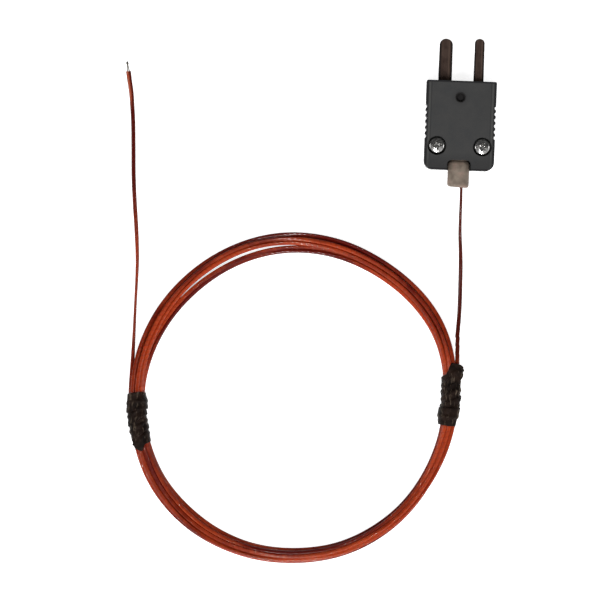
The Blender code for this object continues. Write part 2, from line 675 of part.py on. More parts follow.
def build_wire():
    wire("wire_to_plug", smooth_path(PLUG_TAIL_ROUTE, WIRE_POINT_SPACING), WIRE_DIAMETER, WIRE_INSULATION, PLUG)
    wire("wire_to_tip", smooth_path(TIP_TAIL_ROUTE, WIRE_POINT_SPACING), WIRE_DIAMETER, WIRE_INSULATION, COIL)
    coil_ring()
    twist_tie("tie_right", RIGHT_TIE_LENGTH, RIGHT_TIE_ANGLE, RIGHT_TIE_START)
    twist_tie("tie_left", LEFT_TIE_LENGTH, LEFT_TIE_ANGLE, LEFT_TIE_START)
    junction()


clear_scene()
PARTS = new_collection("thermocouple_probe")
CUTTERS = new_collection("cutters")
PLUG = add_empty("plug_centre")
COIL = add_empty("coil_centre", (*COIL_CENTRE, 0.0))

BODY_PLASTIC = new_material("charcoal_plastic", (0.054, 0.054, 0.054), 0.55)
BLADE_METAL = new_material("dark_alloy", (0.065, 0.042, 0.032), 0.45, 0.6)
SCREW_METAL = new_material("nickel_plate", (0.72, 0.71, 0.69), 0.22, 1.0)
INSERT_BRASS = new_material("insert_brass", (0.72, 0.52, 0.24), 0.3, 1.0)
GROMMET_RUBBER = new_material("brown_rubber", (0.21, 0.155, 0.125), 0.6)
WIRE_INSULATION = new_material("amber_film", (0.33, 0.03, 0.012), 0.25)
POSITIVE_ALLOY = new_material("positive_alloy", (0.36, 0.33, 0.27), 0.35, 1.0)
NEGATIVE_ALLOY = new_material("negative_alloy", (0.40, 0.38, 0.34), 0.35, 1.0)
BEAD_METAL = new_material("welded_bead", (0.22, 0.21, 0.18), 0.4, 1.0)
TIE_PLASTIC = new_material("tie_plastic", (0.018, 0.013, 0.011), 0.4)

build_plug()
build_wire()
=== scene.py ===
"""Looks of the thermocouple probe: the coil of amber duplex wire strand by strand, its two
twist ties, the bare junction, and the finished plug. All sizes are in metres, in the part's
own frame: +Y out along the plug's pins, +Z up, and Z = 0 the surface that it all lies on.
"""
import math

import bmesh
import bpy
import numpy as np
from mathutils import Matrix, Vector, noise


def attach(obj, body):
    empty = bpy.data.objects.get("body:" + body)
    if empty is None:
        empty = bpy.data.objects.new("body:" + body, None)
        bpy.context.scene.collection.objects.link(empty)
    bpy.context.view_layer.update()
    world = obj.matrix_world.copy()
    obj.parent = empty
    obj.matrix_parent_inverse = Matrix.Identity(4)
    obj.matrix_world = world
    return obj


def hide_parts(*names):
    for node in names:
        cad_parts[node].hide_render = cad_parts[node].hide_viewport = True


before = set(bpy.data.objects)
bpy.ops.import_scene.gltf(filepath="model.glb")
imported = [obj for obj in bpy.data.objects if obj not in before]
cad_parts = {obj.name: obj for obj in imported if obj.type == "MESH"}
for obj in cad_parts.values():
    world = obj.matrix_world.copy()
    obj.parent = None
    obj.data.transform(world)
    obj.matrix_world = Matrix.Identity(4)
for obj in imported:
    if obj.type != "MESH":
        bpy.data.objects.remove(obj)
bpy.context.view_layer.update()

# View: straight down, the plug turned a little in the picture
PICTURE_CENTRE = (-0.036213, -0.045438)
PICTURE_WIDTH = 0.14151
PICTURE_TURN = 2.1
LENS = 400.0
SENSOR = 36.0

# Plug
BODY_WIDTH = 0.0165
BODY_THICKNESS = 0.0079
FRONT_Y = 0.0075
REAR_Y = -0.0135
SPLIT_Z = BODY_THICKNESS / 2
SEAM = 0.00008
REAR_CORNER = 0.0020
FRONT_CORNER = 0.00035
SIDE_BEVEL = 0.0008
SIDE_BEVEL_DROP = 0.00045
EDGE_ROUND = 0.00014
GRIP_COUNT = 6
GRIP_PITCH = 0.0014
GRIP_RADIUS = 0.0005
GRIP_DEPTH = 0.00032
GRIP_FRONT_Y = 0.0013
GRIP_CUTTER_HEIGHT = 0.0100
DIMPLE_RADIUS = 0.00115
DIMPLE_DEPTH = 0.0007
DIMPLE_X = -0.0002
DIMPLE_Y = 0.0036
SCREW_PLACES = ((-0.00535, -0.0079), (0.00535, -0.0079))
WELL_RADIUS = 0.00222
WELL_DEPTH = 0.0017
HEAD_RADIUS = 0.00195
HEAD_HEIGHT = 0.00125
HEAD_Z = BODY_THICKNESS - WELL_DEPTH + 0.00015
SHANK_RADIUS = 0.0011
SHANK_LENGTH = 0.0046
SHANK_CHAMFER = 0.0003
HEAD_EDGE = 0.00010
NOTCH_CORNER = 0.0012
FIT = 0.0001
PAST = 0.0005
SHELL_SHARP = 35.0

# Hollows of the shells, from low to high corner
LEAD_CHANNEL = ((-0.0013, -0.0086, 0.0020), (0.0013, -0.0040, 0.0059))
COVER_CAVITY = ((-0.00665, -0.0042, 0.0030), (0.00665, 0.0059, 0.0066))
CABLE_NOTCH = ((-0.00285, REAR_Y - 0.0020, 0.0030), (0.00285, -0.01115, 0.0090))
BASE_CAVITY = ((-0.00665, -0.0042, 0.0034), (0.00665, 0.0059, 0.0050))
BASE_REAR_POCKET = ((-0.00665, -0.0042, 0.0013), (0.00665, -0.0018, 0.0050))
BASE_MIDDLE_POCKET = ((-0.0013, -0.0042, 0.0013), (0.0013, 0.0059, 0.0050))
TERMINAL_Y = 0.0013
TERMINAL_BORE = 0.00115
INSERT_BORE = 0.00195

# Screws' cross recess
CROSS_LONG = 0.00135
CROSS_SHORT = 0.00034
CROSS_DEPTH = 0.00085
CROSS_MIDDLE = 0.00018
CROSS_MOUTH = 0.00078

# Flat pins
BLADE_X = 0.00395
BLADE_THICKNESS = 0.0008
BLADE_TAIL_Y = -0.0016
WIDE_BLADE = (0.0031, 0.0015, 0.0099)
NARROW_BLADE = (0.0023, 0.0011, 0.01015)
BLADE_TAB_HALF = 0.0022
BLADE_TAB_CORNER = 0.0006
BLADE_SHOULDER = 0.00175
BLADE_FLARE = 0.00006
BLADE_EDGE = 0.00016

# Grommet
GROMMET_END_Y = -0.0175
GROMMET_RADIUS = 0.00255
GROMMET_NECK_RADIUS = 0.0021
GROMMET_FLANGE_RADIUS = 0.0025
GROMMET_BORE = 0.00075
GROMMET_LENGTH = 0.00627
GROMMET_FLANGE_FROM = 0.0077
GROMMET_FLANGE_TO = 0.0089
GROMMET_FRONT_ROUND = 0.0009
GROMMET_END_ROUND = 0.0006
GROMMET_SWELL = 0.00005

# Duplex wire
WIRE_WIDTH = 0.00103
WIRE_THICKNESS = 0.00070
STRAND_CRUSH = 0.95
WRAP_PITCH = 0.0013
PLUG_TAIL_LENGTH = 0.0490
TIP_TAIL_START = 1.8190
TIP_LIT_START = 1.8765
WIRE_STEP = 0.0005
WIRE_SIDES = 16
RUN_IN = (0.0440, 0.0600)
SPLAY = 0.15
SPLAY_LENGTH = 0.009

# Coil
COIL_CENTRE = Vector((-0.03737, -0.06861))
PIXEL = 0.001 / 4.24
BUNDLE_MIDDLE = (-0.0366, -0.0689, 0.0)
BUNDLE_MIDDLE_RADIUS = 0.03703
STATIONS = 120
STATION_ANGLE = 360.0 / STATIONS
COIL_START = 15.0
COIL_STEPS = 905
PASSES = 8
SETTLE_SWEEPS = 420
PULLED_SWEEPS = 300
PULL = 0.04
PUSH = 0.3
STIFFNESS = 0.22
MEAN_ROLL = 22.0
FLOOR_GAP = 0.00002
TIE_Z = 0.00238
TIE_SLOTS = 7
TIE_SLOT_RADIUS = 0.00114

# Twist ties
TIE_PITCH = 0.0035
TIE_WIDTH = 0.0043
TIE_SKIN = 0.00028
TIE_RIB_HEIGHT = 0.00030
TIE_RIB_WIDTH = 0.0011
TIE_SLACK = 0.00015
TIE_COLUMNS = 48
TIE_ROWS = 16
TIE_RING_RADIUS = 0.0373
WRAP_STEP = 7.5
CELL = 0.0001
CELLS_REACH = 0.0100
LAID_REACH = 0.00035
CRUMPLE = 0.00009
SLANT = 0.0005

# Each tie's name, node, middle (degrees clockwise from +X), wraps, level part of each end in wraps, droop of
# its start, angle of its start round the bundle, lift of its two ends, seed, and how far inward it lies
TIE_TABLE = (
    ("twist_tie_right", "tie_right", -1.35, 3.74, (0.5, 0.95), 0.0024, -5.0, (0.0007, 0.0002), 2.0, 0.00015),
    ("twist_tie_left", "tie_left", 170.1, 3.70, (0.5, 0.75), 0.0014, 4.0, (0.0004, 0.0003), 7.0, 0.0),
)

# Measuring junction
CONDUCTOR_RADIUS = 0.000125
CONDUCTOR_SIDES = 10
CONDUCTOR_STEPS = 14
CONDUCTOR_START = -0.0006
CONDUCTOR_LENGTH = 0.0023
CONDUCTOR_TAPER = 0.2
BEAD_RADIUS = 0.0003
BEAD_PLACE = 0.0019

# Lamps: place from the picture's centre, size and power
LAMPS = (
    ("strip", (-0.004, -0.38, 0.88), (0.022, 0.5), 4.6),
    ("left_box", (-0.75, 0.0, 0.55), (0.25, 0.7), 1.7),
    ("right_box", (0.75, 0.0, 0.55), (0.25, 0.7), 1.4),
)

# Ways that the wire's painted light and its painted highlight on the left follow across the bundle, seen
# from its middle
PAINTED_LIGHT_WAY = (0.25, -0.97, 0.0)
PAINTED_SHEEN_WAY = (-0.94, 0.34, 0.0)


# Finishes

class Link:
    """A node's output that Python's arithmetic can be written on."""

    def __init__(self, finish, socket):
        self.finish = finish
        self.socket = socket

    def math(self, operation, *values):
        return self.finish.node("ShaderNodeMath", {"operation": operation}, dict(enumerate(values)))

    def __add__(self, other):
        return self.math("ADD", self, other)

    def __sub__(self, other):
        return self.math("SUBTRACT", self, other)

    def __rsub__(self, other):
        return self.math("SUBTRACT", other, self)

    def __mul__(self, other):
        return self.math("MULTIPLY", self, other)

    def __truediv__(self, other):
        return self.math("DIVIDE", self, other)

    __radd__ = __add__
    __rmul__ = __mul__

    def clamped(self):
        return self.math("MINIMUM", self.math("MAXIMUM", self, 0.0), 1.0)


class Finish:
    """A material that is built one node at a time."""

    def __init__(self, name):
        self.material = bpy.data.materials.new(name)
        self.material.use_nodes = True
        self.tree = self.material.node_tree
        self.shader = self.tree.nodes["Principled BSDF"]

    def node(self, kind, settings=None, values=None, output=0):
        """Add a node, its settings first, then the values or links of its sockets."""
        made = self.tree.nodes.new(kind)
        for name, setting in (settings or {}).items():
            if name == "stops":
                self.set_stops(made.color_ramp, setting)
            else:
                setattr(made, name, setting)
        for key, value in (values or {}).items():
            self.feed(made.inputs[key], value)
        return Link(self, made.outputs[output])

    def set_stops(self, ramp, stops):
        while len(ramp.elements) < len(stops):
            ramp.elements.new(0.5)
        for element, (place, shade) in zip(ramp.elements, stops):
            element.position = place
            element.color = (shade, shade, shade, 1.0)

    def feed(self, socket, value):
        if isinstance(value, Link):
            self.tree.links.new(value.socket, socket)
        else:
            socket.default_value = value

    def set(self, **values):
        """Feed the Principled shader, as in Base_Color=..., and return the material."""
        for name, value in values.items():
            self.feed(self.shader.inputs[name.replace("_", " ")], value)
        return self.material

    def place(self):
        return self.node("ShaderNodeTexCoord", output="Object")

    def axes(self, vector):
        split = {0: vector}
        return [self.node("ShaderNodeSeparateXYZ", None, split, axis) for axis in ("X", "Y", "Z")]

    def stretched(self, vector, scale):
        return self.node("ShaderNodeMapping", None, {"Vector": vector, "Scale": scale})

    def grain(self, vector, scale, detail=3.0, roughness=0.55):
        """Noise around 0.5, at a scale in features a metre."""
        return self.node("ShaderNodeTexNoise", None,
                         {"Vector": vector, "Scale": scale, "Detail": detail, "Roughness": roughness}, "Fac")

    def ramp(self, value, *stops):
        return self.node("ShaderNodeValToRGB", {"stops": stops}, {"Fac": value})

    def mix(self, share, first, second):
        return self.node("ShaderNodeMix", {"data_type": "RGBA"}, {0: share, 6: first, 7: second}, 2)

    def blend(self, value, low, high, first, second):
        """The first colour, and the second over it by the value's ramp from low to high."""
        return self.mix(self.ramp(value, low, high), first, second)

    def vector_math(self, operation, first, second=None, output=0):
        values = {0: first} if second is None else {0: first, 1: second}
        return self.node("ShaderNodeVectorMath", {"operation": operation}, values, output)

    def painted_light_side(self, place):
        """Painted light and shade across the bundle of wire: from 0 to 1 towards its side that faces the
        viewer's near side, dark at both edges, with a painted highlight added on its left.
        """
        from_middle = self.vector_math("SUBTRACT", self.stretched(place, (1.0, 1.0, 0.0)), BUNDLE_MIDDLE)
        far = self.vector_math("LENGTH", from_middle, output="Value")
        outward = self.vector_math("NORMALIZE", from_middle)
        near = self.vector_math("DOT_PRODUCT", outward, PAINTED_LIGHT_WAY, "Value")
        across = ((far - BUNDLE_MIDDLE_RADIUS) * near * 280.0 + 0.5).clamped()
        # Painted highlight: a lighter band on the bundle's left, by place.
        leftward = self.vector_math("DOT_PRODUCT", outward, PAINTED_SHEEN_WAY, "Value")
        painted_sheen = self.ramp(leftward, (0.86, 0.0), (0.97, 0.4))
        return self.ramp(across, (0.0, 0.1), (0.25, 0.2), (0.58, 1.0), (0.80, 0.8), (0.96, 0.0)) + painted_sheen

    def bump(self, height, distance, strength=1.0, normal=None):
        values = {"Height": height, "Distance": distance, "Strength": strength}
        if normal:
            values["Normal"] = normal
        return self.node("ShaderNodeBump", None, values)


def rgb(*colour):
    return (*colour, 1.0)


def charcoal_plastic():
    finish = Finish("charcoal_plastic")
    place = finish.place()
    cloud = finish.grain(place, 420.0, 4.0)
    speck = finish.grain(place, 5200.0, 2.0)
    shade = (cloud * 0.5 + speck * 0.5).clamped()
    plastic = finish.blend(shade, (0.35, 0.0), (0.65, 1.0), rgb(0.040, 0.041, 0.042),
                           rgb(0.052, 0.051, 0.050))
    x, y, _ = finish.axes(place)
    inward = BODY_WIDTH / 2 * 1000.0 - x.math("ABSOLUTE", x) * 1000.0
    inside = (FRONT_Y - REAR_Y) * 500.0 - y.math("ABSOLUTE", y - (FRONT_Y + REAR_Y) / 2) * 1000.0
    # Painted highlight: a lighter strip along each side bevel.
    strip = finish.ramp(inward / 2.0, (0.29, 0.0), (0.36, 1.0), (0.48, 1.0), (0.54, 0.0))
    plastic = finish.mix(strip * 0.38, plastic, rgb(0.085, 0.085, 0.080))
    # Painted shade: a dark outline along the sides and ends, and darker towards the rear.
    side_shade = finish.ramp(inward / 2.0, (0.0, 1.0), (0.23, 0.9), (0.31, 0.0), (0.53, 0.0), (0.60, 0.5),
                             (0.70, 0.0))
    end_shade = finish.ramp(inside / 2.0, (0.0, 1.0), (0.16, 0.85), (0.25, 0.0))
    rear_shade = finish.ramp((y * -1000.0 - 9.5) / 4.0, (0.0, 0.0), (0.5, 0.3), (1.0, 0.4))
    rim_shade = x.math("MAXIMUM", x.math("MAXIMUM", side_shade, end_shade), rear_shade)
    plastic = finish.mix(rim_shade, plastic, rgb(0.010, 0.010, 0.011))
    # Painted shade: darker in and around the round dimple, most at its middle.
    from_mark = finish.vector_math("DISTANCE", finish.stretched(place, (1.0, 1.0, 0.0)),
                                   (DIMPLE_X, DIMPLE_Y, 0.0), "Value")
    painted_dimple_shade = finish.ramp(from_mark * 250.0, (0.14, 1.0), (0.27, 0.8), (0.36, 0.16), (0.60, 0.0))
    return finish.set(Base_Color=finish.mix(painted_dimple_shade, plastic, rgb(0.009, 0.008, 0.008)),
                      Roughness=cloud * 0.25 + 0.42, Specular_IOR_Level=0.15,
                      Normal=finish.bump(speck, 0.00002, 0.6, finish.bump(cloud, 0.00006, 0.3)))


def dark_alloy(name, middle_x, width):
    """Tarnished flat stock, with painted shade along its two long edges and a painted highlight beside the
    right one.
    """
    finish = Finish(name)
    place = finish.place()
    streak = finish.grain(finish.stretched(place, (9.0, 1.0, 9.0)), 420.0, 4.0)
    patch = finish.grain(place, 380.0, 3.0)
    tint = finish.blend(patch, (0.35, 0.0), (0.68, 1.0), rgb(0.034, 0.019, 0.014), rgb(0.062, 0.038, 0.029))
    tint = finish.blend(streak, (0.45, 0.0), (0.75, 0.5), tint, rgb(0.080, 0.052, 0.039))
    across = (finish.axes(place)[0] - (middle_x - width / 2)) / width
    # Painted highlight: a lighter band beside the right edge.
    painted_right_highlight = finish.ramp(across, (0.66, 0.0), (0.74, 0.7), (0.82, 0.0))
    # Painted shade: darker along both long edges.
    edges = finish.ramp(across, (0.0, 1.0), (0.10, 0.9), (0.20, 0.0), (0.82, 0.0), (0.90, 0.9), (1.0, 1.0))
    tint = finish.mix(edges, finish.mix(painted_right_highlight, tint, rgb(0.105, 0.070, 0.053)), rgb(0.006, 0.003, 0.003))
    return finish.set(Base_Color=tint, Metallic=0.6, Roughness=streak * 0.3 + 0.28, Specular_IOR_Level=0.3,
                      Normal=finish.bump(streak, 0.00002, 0.5))


def nickel_plate():
    finish = Finish("nickel_plate")
    place = finish.place()
    wear = finish.grain(place, 2600.0, 3.0)
    tint = finish.blend(wear, (0.40, 0.0), (0.62, 1.0), rgb(0.34, 0.335, 0.33), rgb(0.80, 0.79, 0.77))
    return finish.set(Base_Color=tint, Metallic=1.0, Roughness=wear * 0.2 + 0.06,
                      Normal=finish.bump(wear, 0.000009, 1.0))


def turned_brass():
    finish = Finish("turned_brass")
    rings = finish.grain(finish.stretched(finish.place(), (1.0, 1.0, 30.0)), 600.0, 2.0)
    return finish.set(Base_Color=finish.mix(rings, rgb(0.62, 0.43, 0.18), rgb(0.78, 0.57, 0.28)),
                      Metallic=1.0, Roughness=rings * 0.2 + 0.2)


def grommet_rubber():
    finish = Finish("grommet_rubber")
    place = finish.place()
    cloud = finish.grain(place, 520.0, 4.0)
    pink = finish.grain(finish.stretched(place, (1.0, 1.6, 1.0)), 330.0, 2.0)
    speck = finish.grain(place, 3800.0, 2.0)
    brown = finish.blend(cloud, (0.3, 0.0), (0.7, 1.0), rgb(0.135, 0.103, 0.078), rgb(0.265, 0.215, 0.170))
    return finish.set(Base_Color=finish.blend(pink, (0.50, 0.0), (0.72, 0.5), brown, rgb(0.32, 0.20, 0.165)),
                      Roughness=cloud * 0.2 + 0.48, Specular_IOR_Level=0.25,
                      Normal=finish.bump(speck, 0.00003, 0.7, finish.bump(cloud, 0.0001, 0.4)))


def amber_film():
    """Glossy amber tape, wound over both conductors with half of each wrap on the last."""
    finish = Finish("amber_film")
    along, around, _ = finish.axes(finish.node("ShaderNodeUVMap", {"uv_map": "wire"}))
    turn = along / WRAP_PITCH + around
    wrap = turn.math("FRACT", turn)
    edge = finish.ramp(wrap, (0.0, 1.0), (0.12, 0.2), (0.55, 0.0))
    layer = finish.node("ShaderNodeTexWhiteNoise", {"noise_dimensions": "1D"},
                        {"W": turn.math("FLOOR", turn)}, "Value")
    tone = finish.node("ShaderNodeTexNoise", {"noise_dimensions": "1D"},
                       {"W": along, "Scale": 14.0, "Detail": 3.0, "Roughness": 0.6}, "Fac")
    # Painted light: the film lighter on the bundle's near side and darker at its edges.
    painted_light = finish.painted_light_side(finish.place())
    shade = (tone * 2.1 + painted_light * 0.36 + layer * 0.12 - 0.83).clamped()
    film = finish.blend(shade, (0.22, 0.0), (0.78, 1.0), rgb(0.110, 0.006, 0.003), rgb(0.42, 0.052, 0.014))
    # Painted shade: the plug's tail and the tip's tail painted darker than the coil.
    plug_tail = (1.0 - (along - PLUG_TAIL_LENGTH) * 200.0).clamped()
    tip_tail = (along * 200.0 - TIP_TAIL_START * 200.0).clamped() * 0.35
    film = finish.mix((plug_tail + tip_tail) * 0.85, film, rgb(0.042, 0.004, 0.003))
    # Painted highlight: a lighter band along one lobe near the tip.
    painted_lobe_highlight = finish.ramp(around, (0.20, 0.0), (0.30, 1.0), (0.38, 1.0), (0.46, 0.0))
    tip_end = ((along - TIP_LIT_START) * 300.0).clamped()
    film = finish.mix(painted_lobe_highlight * tip_end * 0.8, film, rgb(0.50, 0.12, 0.06))
    return finish.set(Base_Color=finish.mix(edge * 0.5, film, rgb(0.065, 0.005, 0.003)),
                      Roughness=tone * 0.06 + 0.04, Specular_IOR_Level=0.16, Subsurface_Weight=0.35,
                      Subsurface_Radius=(1.0, 0.22, 0.10), Subsurface_Scale=0.0005,
                      Normal=finish.bump(1.0 - (wrap - 0.5) * (wrap - 0.5) * 4.0, 0.000013, 1.0))


def tie_plastic():
    finish = Finish("tie_plastic")
    place = finish.place()
    crease = finish.grain(place, 1500.0, 5.0, 0.65)
    cloud = finish.grain(place, 420.0, 3.0)
    streak = finish.grain(finish.stretched(place, (1.0, 0.22, 1.0)), 1700.0, 3.0)
    tint = finish.blend(cloud, (0.35, 0.0), (0.70, 1.0), rgb(0.005, 0.0028, 0.0020),
                        rgb(0.022, 0.012, 0.0085))
    # Painted highlight: lighter streaks along the ties.
    painted_crest_highlight = rgb(0.105, 0.078, 0.056)
    return finish.set(Base_Color=finish.blend(streak, (0.56, 0.0), (0.68, 0.8), tint, painted_crest_highlight),
                      Roughness=crease * 0.35 + 0.20, Specular_IOR_Level=0.05,
                      Normal=finish.bump(crease, 0.00022, 1.0))


def drawn_alloy(name, dark, light):
    finish = Finish(name)
    grain = finish.grain(finish.place(), 3000.0, 4.0)
    return finish.set(Base_Color=finish.mix(grain, dark, light), Metallic=1.0, Roughness=grain * 0.25 + 0.25,
                      Normal=finish.bump(grain, 0.00001, 0.6))


# Meshes

def in_scene(name, data):
    thing = bpy.data.objects.new(name, data)
    bpy.context.scene.collection.objects.link(thing)
    return thing


def new_piece(name, mesh, finish, slot, *nodes):
    """A finished piece, in place in its mesh, that rides with the part."""
    piece = in_scene(name, mesh)
    mesh.materials.clear()
    mesh.materials.append(finish)
    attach(piece, "root")
    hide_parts(*nodes)
    return piece


def smooth(mesh, sharp=None):
    """Shade the mesh smooth, apart from its edges of more than this many degrees."""
    mesh.shade_smooth()
    if sharp:
        mesh.set_sharp_from_angle(angle=math.radians(sharp))
    return mesh


def mesh_of(bm, name, sharp=None):
    mesh = bpy.data.meshes.new(name)
    bmesh.ops.recalc_face_normals(bm, faces=bm.faces)
    bm.to_mesh(mesh)
    bm.free()
    return smooth(mesh, sharp)


def applied(thing, *helpers):
    """The thing's mesh with all that shapes it applied. The thing and its helpers go."""
    bpy.context.view_layer.update()
    mesh = bpy.data.meshes.new_from_object(thing.evaluated_get(bpy.context.evaluated_depsgraph_get()))
    for used in (thing, *helpers):
        bpy.data.objects.remove(used)
    return mesh


def add_block(bm, low, high):
    low, high = Vector(low), Vector(high)
    made = bmesh.ops.create_cube(bm, size=1.0)["verts"]
    bmesh.ops.scale(bm, vec=high - low, verts=made)
    bmesh.ops.translate(bm, vec=(low + high) / 2, verts=made)
    return made


def add_rod(bm, steps, radius, depth, end_radius=None):
    """A capped rod along Z, about the origin, whose upper end may have its own radius."""
    return bmesh.ops.create_cone(bm, cap_ends=True, cap_tris=False, segments=steps, radius1=radius,
                                 radius2=end_radius or radius, depth=depth)["verts"]


def move(bm, offset, verts=None):
    bmesh.ops.translate(bm, vec=offset, verts=verts or bm.verts)


def turn_to(bm, way, track="Z", up="Y"):
    """Turn the shape about the origin, so that its own track axis points the given way."""
    matrix = Vector(way).to_track_quat(track, up).to_matrix()
    bmesh.ops.rotate(bm, cent=(0, 0, 0), matrix=matrix, verts=bm.verts)


def soften(bm, edges, radius, segments):
    bmesh.ops.bevel(bm, geom=edges, offset=radius, offset_type="OFFSET", segments=segments,
                    profile=0.5, affect="EDGES", material=-1)


def upright(edge):
    a, b = edge.verts
    return abs(a.co.x - b.co.x) + abs(a.co.y - b.co.y) < abs(a.co.z - b.co.z) * 0.01


def turned(bm, profile, steps):
    """Turn (radius, height) points round Z into a closed shape."""
    verts = [bm.verts.new((r, 0.0, z)) for r, z in profile]
    edges = [bm.edges.new(pair) for pair in zip(verts, verts[1:])]
    bmesh.ops.spin(bm, geom=verts + edges, cent=(0, 0, 0), axis=(0, 0, 1), angle=math.tau, steps=steps,
                   use_merge=True, use_duplicate=False)
    bmesh.ops.remove_doubles(bm, verts=bm.verts, dist=1e-7)


def rounded(centre, radius, start, end, steps):
    points = []
    for step in range(steps + 1):
        angle = math.radians(start + (end - start) * step / steps)
        points.append((centre[0] + radius * math.cos(angle), centre[1] + radius * math.sin(angle)))
    return points


def carved(mesh, cutters):
    """The mesh with the cutters' meshes taken out of it."""
    blank = in_scene("blank", mesh)
    tools = []
    for cutter in cutters:
        cut = blank.modifiers.new("Cut", "BOOLEAN")
        cut.operation = "DIFFERENCE"
        cut.solver = "EXACT"
        cut.object = in_scene("tool", cutter)
        tools.append(cut.object)
    return applied(blank, *tools)


def edge_bevel(piece, width, segments=2, angle=35.0):
    bevel = piece.modifiers.new("Edges", "BEVEL")
    bevel.width = width
    bevel.segments = segments
    bevel.limit_method = "ANGLE"
    bevel.angle_limit = math.radians(angle)
    bevel.harden_normals = True


# Camera

def place_camera():
    data = bpy.data.cameras.new("camera")
    data.lens = LENS
    data.sensor_width = SENSOR
    data.clip_start = 0.01
    data.clip_end = 20.0
    camera = in_scene("camera", data)
    camera.location = (*PICTURE_CENTRE, SPLIT_Z + PICTURE_WIDTH * LENS / SENSOR)
    camera.rotation_euler = (0.0, 0.0, math.radians(PICTURE_TURN))
    bpy.context.scene.camera = camera


# Coil: where each strand lies

# Mean radius of the wound bundle in pixels of the photograph, by the row frame's angle
BUNDLE_RADIUS = (
    (2, 158.6), (14, 160.6), (26, 162.2), (38, 160.7), (50, 158.2), (62, 156.5), (74, 156.3), (86, 155.6),
    (98, 154.7), (110, 153.0), (122, 151.6), (134, 151.3), (158, 152.6), (164, 153.7), (170, 154.2),
    (182, 155.0), (190, 155.3), (200, 155.8), (212, 158.0), (242, 159.1), (266, 157.8), (278, 157.9),
    (290, 158.9), (302, 158.8), (314, 158.7), (338, 157.2), (350, 156.9), (362, 158.6), (374, 160.6),
)


def tie_layout(first):
    """Eight strands packed round: seven about one. first is the slot of strand 0."""
    places = []
    for index in range(PASSES):
        slot = (index + first) % PASSES
        if slot == TIE_SLOTS:
            places.append((0.0, TIE_Z))
        else:
            angle = math.tau * slot / TIE_SLOTS
            places.append((TIE_SLOT_RADIUS * math.cos(angle), TIE_Z + TIE_SLOT_RADIUS * math.sin(angle)))
    return places


def layout(*numbers):
    """Each strand's place out from the middle and up from the floor, given in millimetres."""
    return [(u / 1000, w / 1000) for u, w in zip(numbers[::2], numbers[1::2])]


RIGHT_TIE = tie_layout(0)
LEFT_TIE = tie_layout(1)
BELOW_RIGHT_TIE = layout(0.85, 1.9, 0.2, 2.5, -0.55, 2.1, -0.85, 1.2, -0.5, 0.5, 0.4, 0.5, 0.05, 1.4,
                         0.9, 1.1)
BOTTOM_RIGHT = layout(0.75, 1.75, 0.15, 2.1, -0.55, 1.7, -1.05, 0.75, -0.35, 0.5, 0.4, 0.5, 0.1, 1.3,
                      1.1, 0.7)
BOTTOM = layout(0.9, 1.45, 0.25, 1.95, -0.65, 1.55, -1.25, 0.6, -0.42, 0.5, 0.42, 0.5, 0.05, 1.25, 1.25, 0.6)
BOTTOM_LEFT = layout(1.05, 1.3, 0.1, 1.4, -0.95, 1.35, -1.75, 0.5, -0.88, 0.45, 0.0, 0.45, 0.88, 0.45,
                     1.75, 0.5)
UPPER_LEFT = layout(1.85, 0.55, 0.5, 1.3, -0.4, 1.3, -1.82, 0.45, -0.93, 0.45, 0.93, 0.45, 0.0, 0.45)
LEFT_TOP = layout(2.2, 0.45, 1.8, 1.25, 0.95, 1.25, -1.62, 0.42, -1.38, 1.15, 1.38, 0.45, 0.5, 0.45)
TOP = layout(1.86, 0.5, 0.5, 1.25, -0.45, 1.25, -1.86, 0.45, -0.93, 0.45, 0.93, 0.45, 0.0, 0.45)
ABOVE_RIGHT_TIE = layout(2.0, 1.4, 0.8, 1.9, -0.45, 1.7, -1.35, 0.7, -0.5, 0.6, 1.25, 0.6, 0.3, 0.8)
TOP_RIGHT = layout(1.35, 1.0, 0.35, 1.5, -0.55, 1.4, -1.4, 0.6, -0.6, 0.5, 1.0, 0.5, 0.2, 0.5)

# Bottom passes 0 to 7, then top passes 0 to 6, by the angle clockwise from the row frame's +X
BOTTOM_KEYS = ((-15, RIGHT_TIE), (-4, RIGHT_TIE), (8, RIGHT_TIE), (19, BELOW_RIGHT_TIE), (45, BOTTOM_RIGHT),
               (98, BOTTOM), (152, BOTTOM_LEFT), (167, LEFT_TIE), (180, LEFT_TIE))
TOP_KEYS = ((200, UPPER_LEFT), (217, UPPER_LEFT), (237, LEFT_TOP), (253, LEFT_TOP), (273, TOP),
            (312, TOP_RIGHT), (341, ABOVE_RIGHT_TIE))
NEXT_PASS = 351

# The first strand comes in from outside the coil
ENTRY_KEYS = [(-15, (0.0021, 0.0022)), (-11, (0.00165, 0.0024)), (-6, (0.00128, 0.0024))]


def target(turned_angle):
    """Where the strand aims to lie after this many degrees clockwise from +X: out, up."""
    turn = int((turned_angle + COIL_START) // 360)
    angle = turned_angle - 360.0 * turn
    keys = [(key, places[turn]) for key, places in BOTTOM_KEYS]
    if turn == 0:
        keys = ENTRY_KEYS + keys[2:]
    if turn < PASSES - 1:
        keys += [(key, places[turn]) for key, places in TOP_KEYS]
        keys.append((NEXT_PASS, RIGHT_TIE[turn + 1]))
    for (a, here), (b, there) in zip(keys, keys[1:]):
        if angle <= b:
            share = (angle - a) / (b - a)
            share = share * share * (3 - 2 * share)
            return (here[0] + (there[0] - here[0]) * share, here[1] + (there[1] - here[1]) * share)
    return keys[-1][1]


def reach(roll, direction):
    """How far the wire's flat section reaches from its middle in a direction."""
    turn = roll - direction
    return np.hypot(WIRE_WIDTH / 2 * np.cos(turn), WIRE_THICKNESS / 2 * np.sin(turn))


def waviness(count, length, seed, size):
    """A smooth wander along the wire, from -size to size."""
    return np.array([noise.noise(Vector((n * length, seed, 0.5))) for n in range(count)]) * size * 1.6


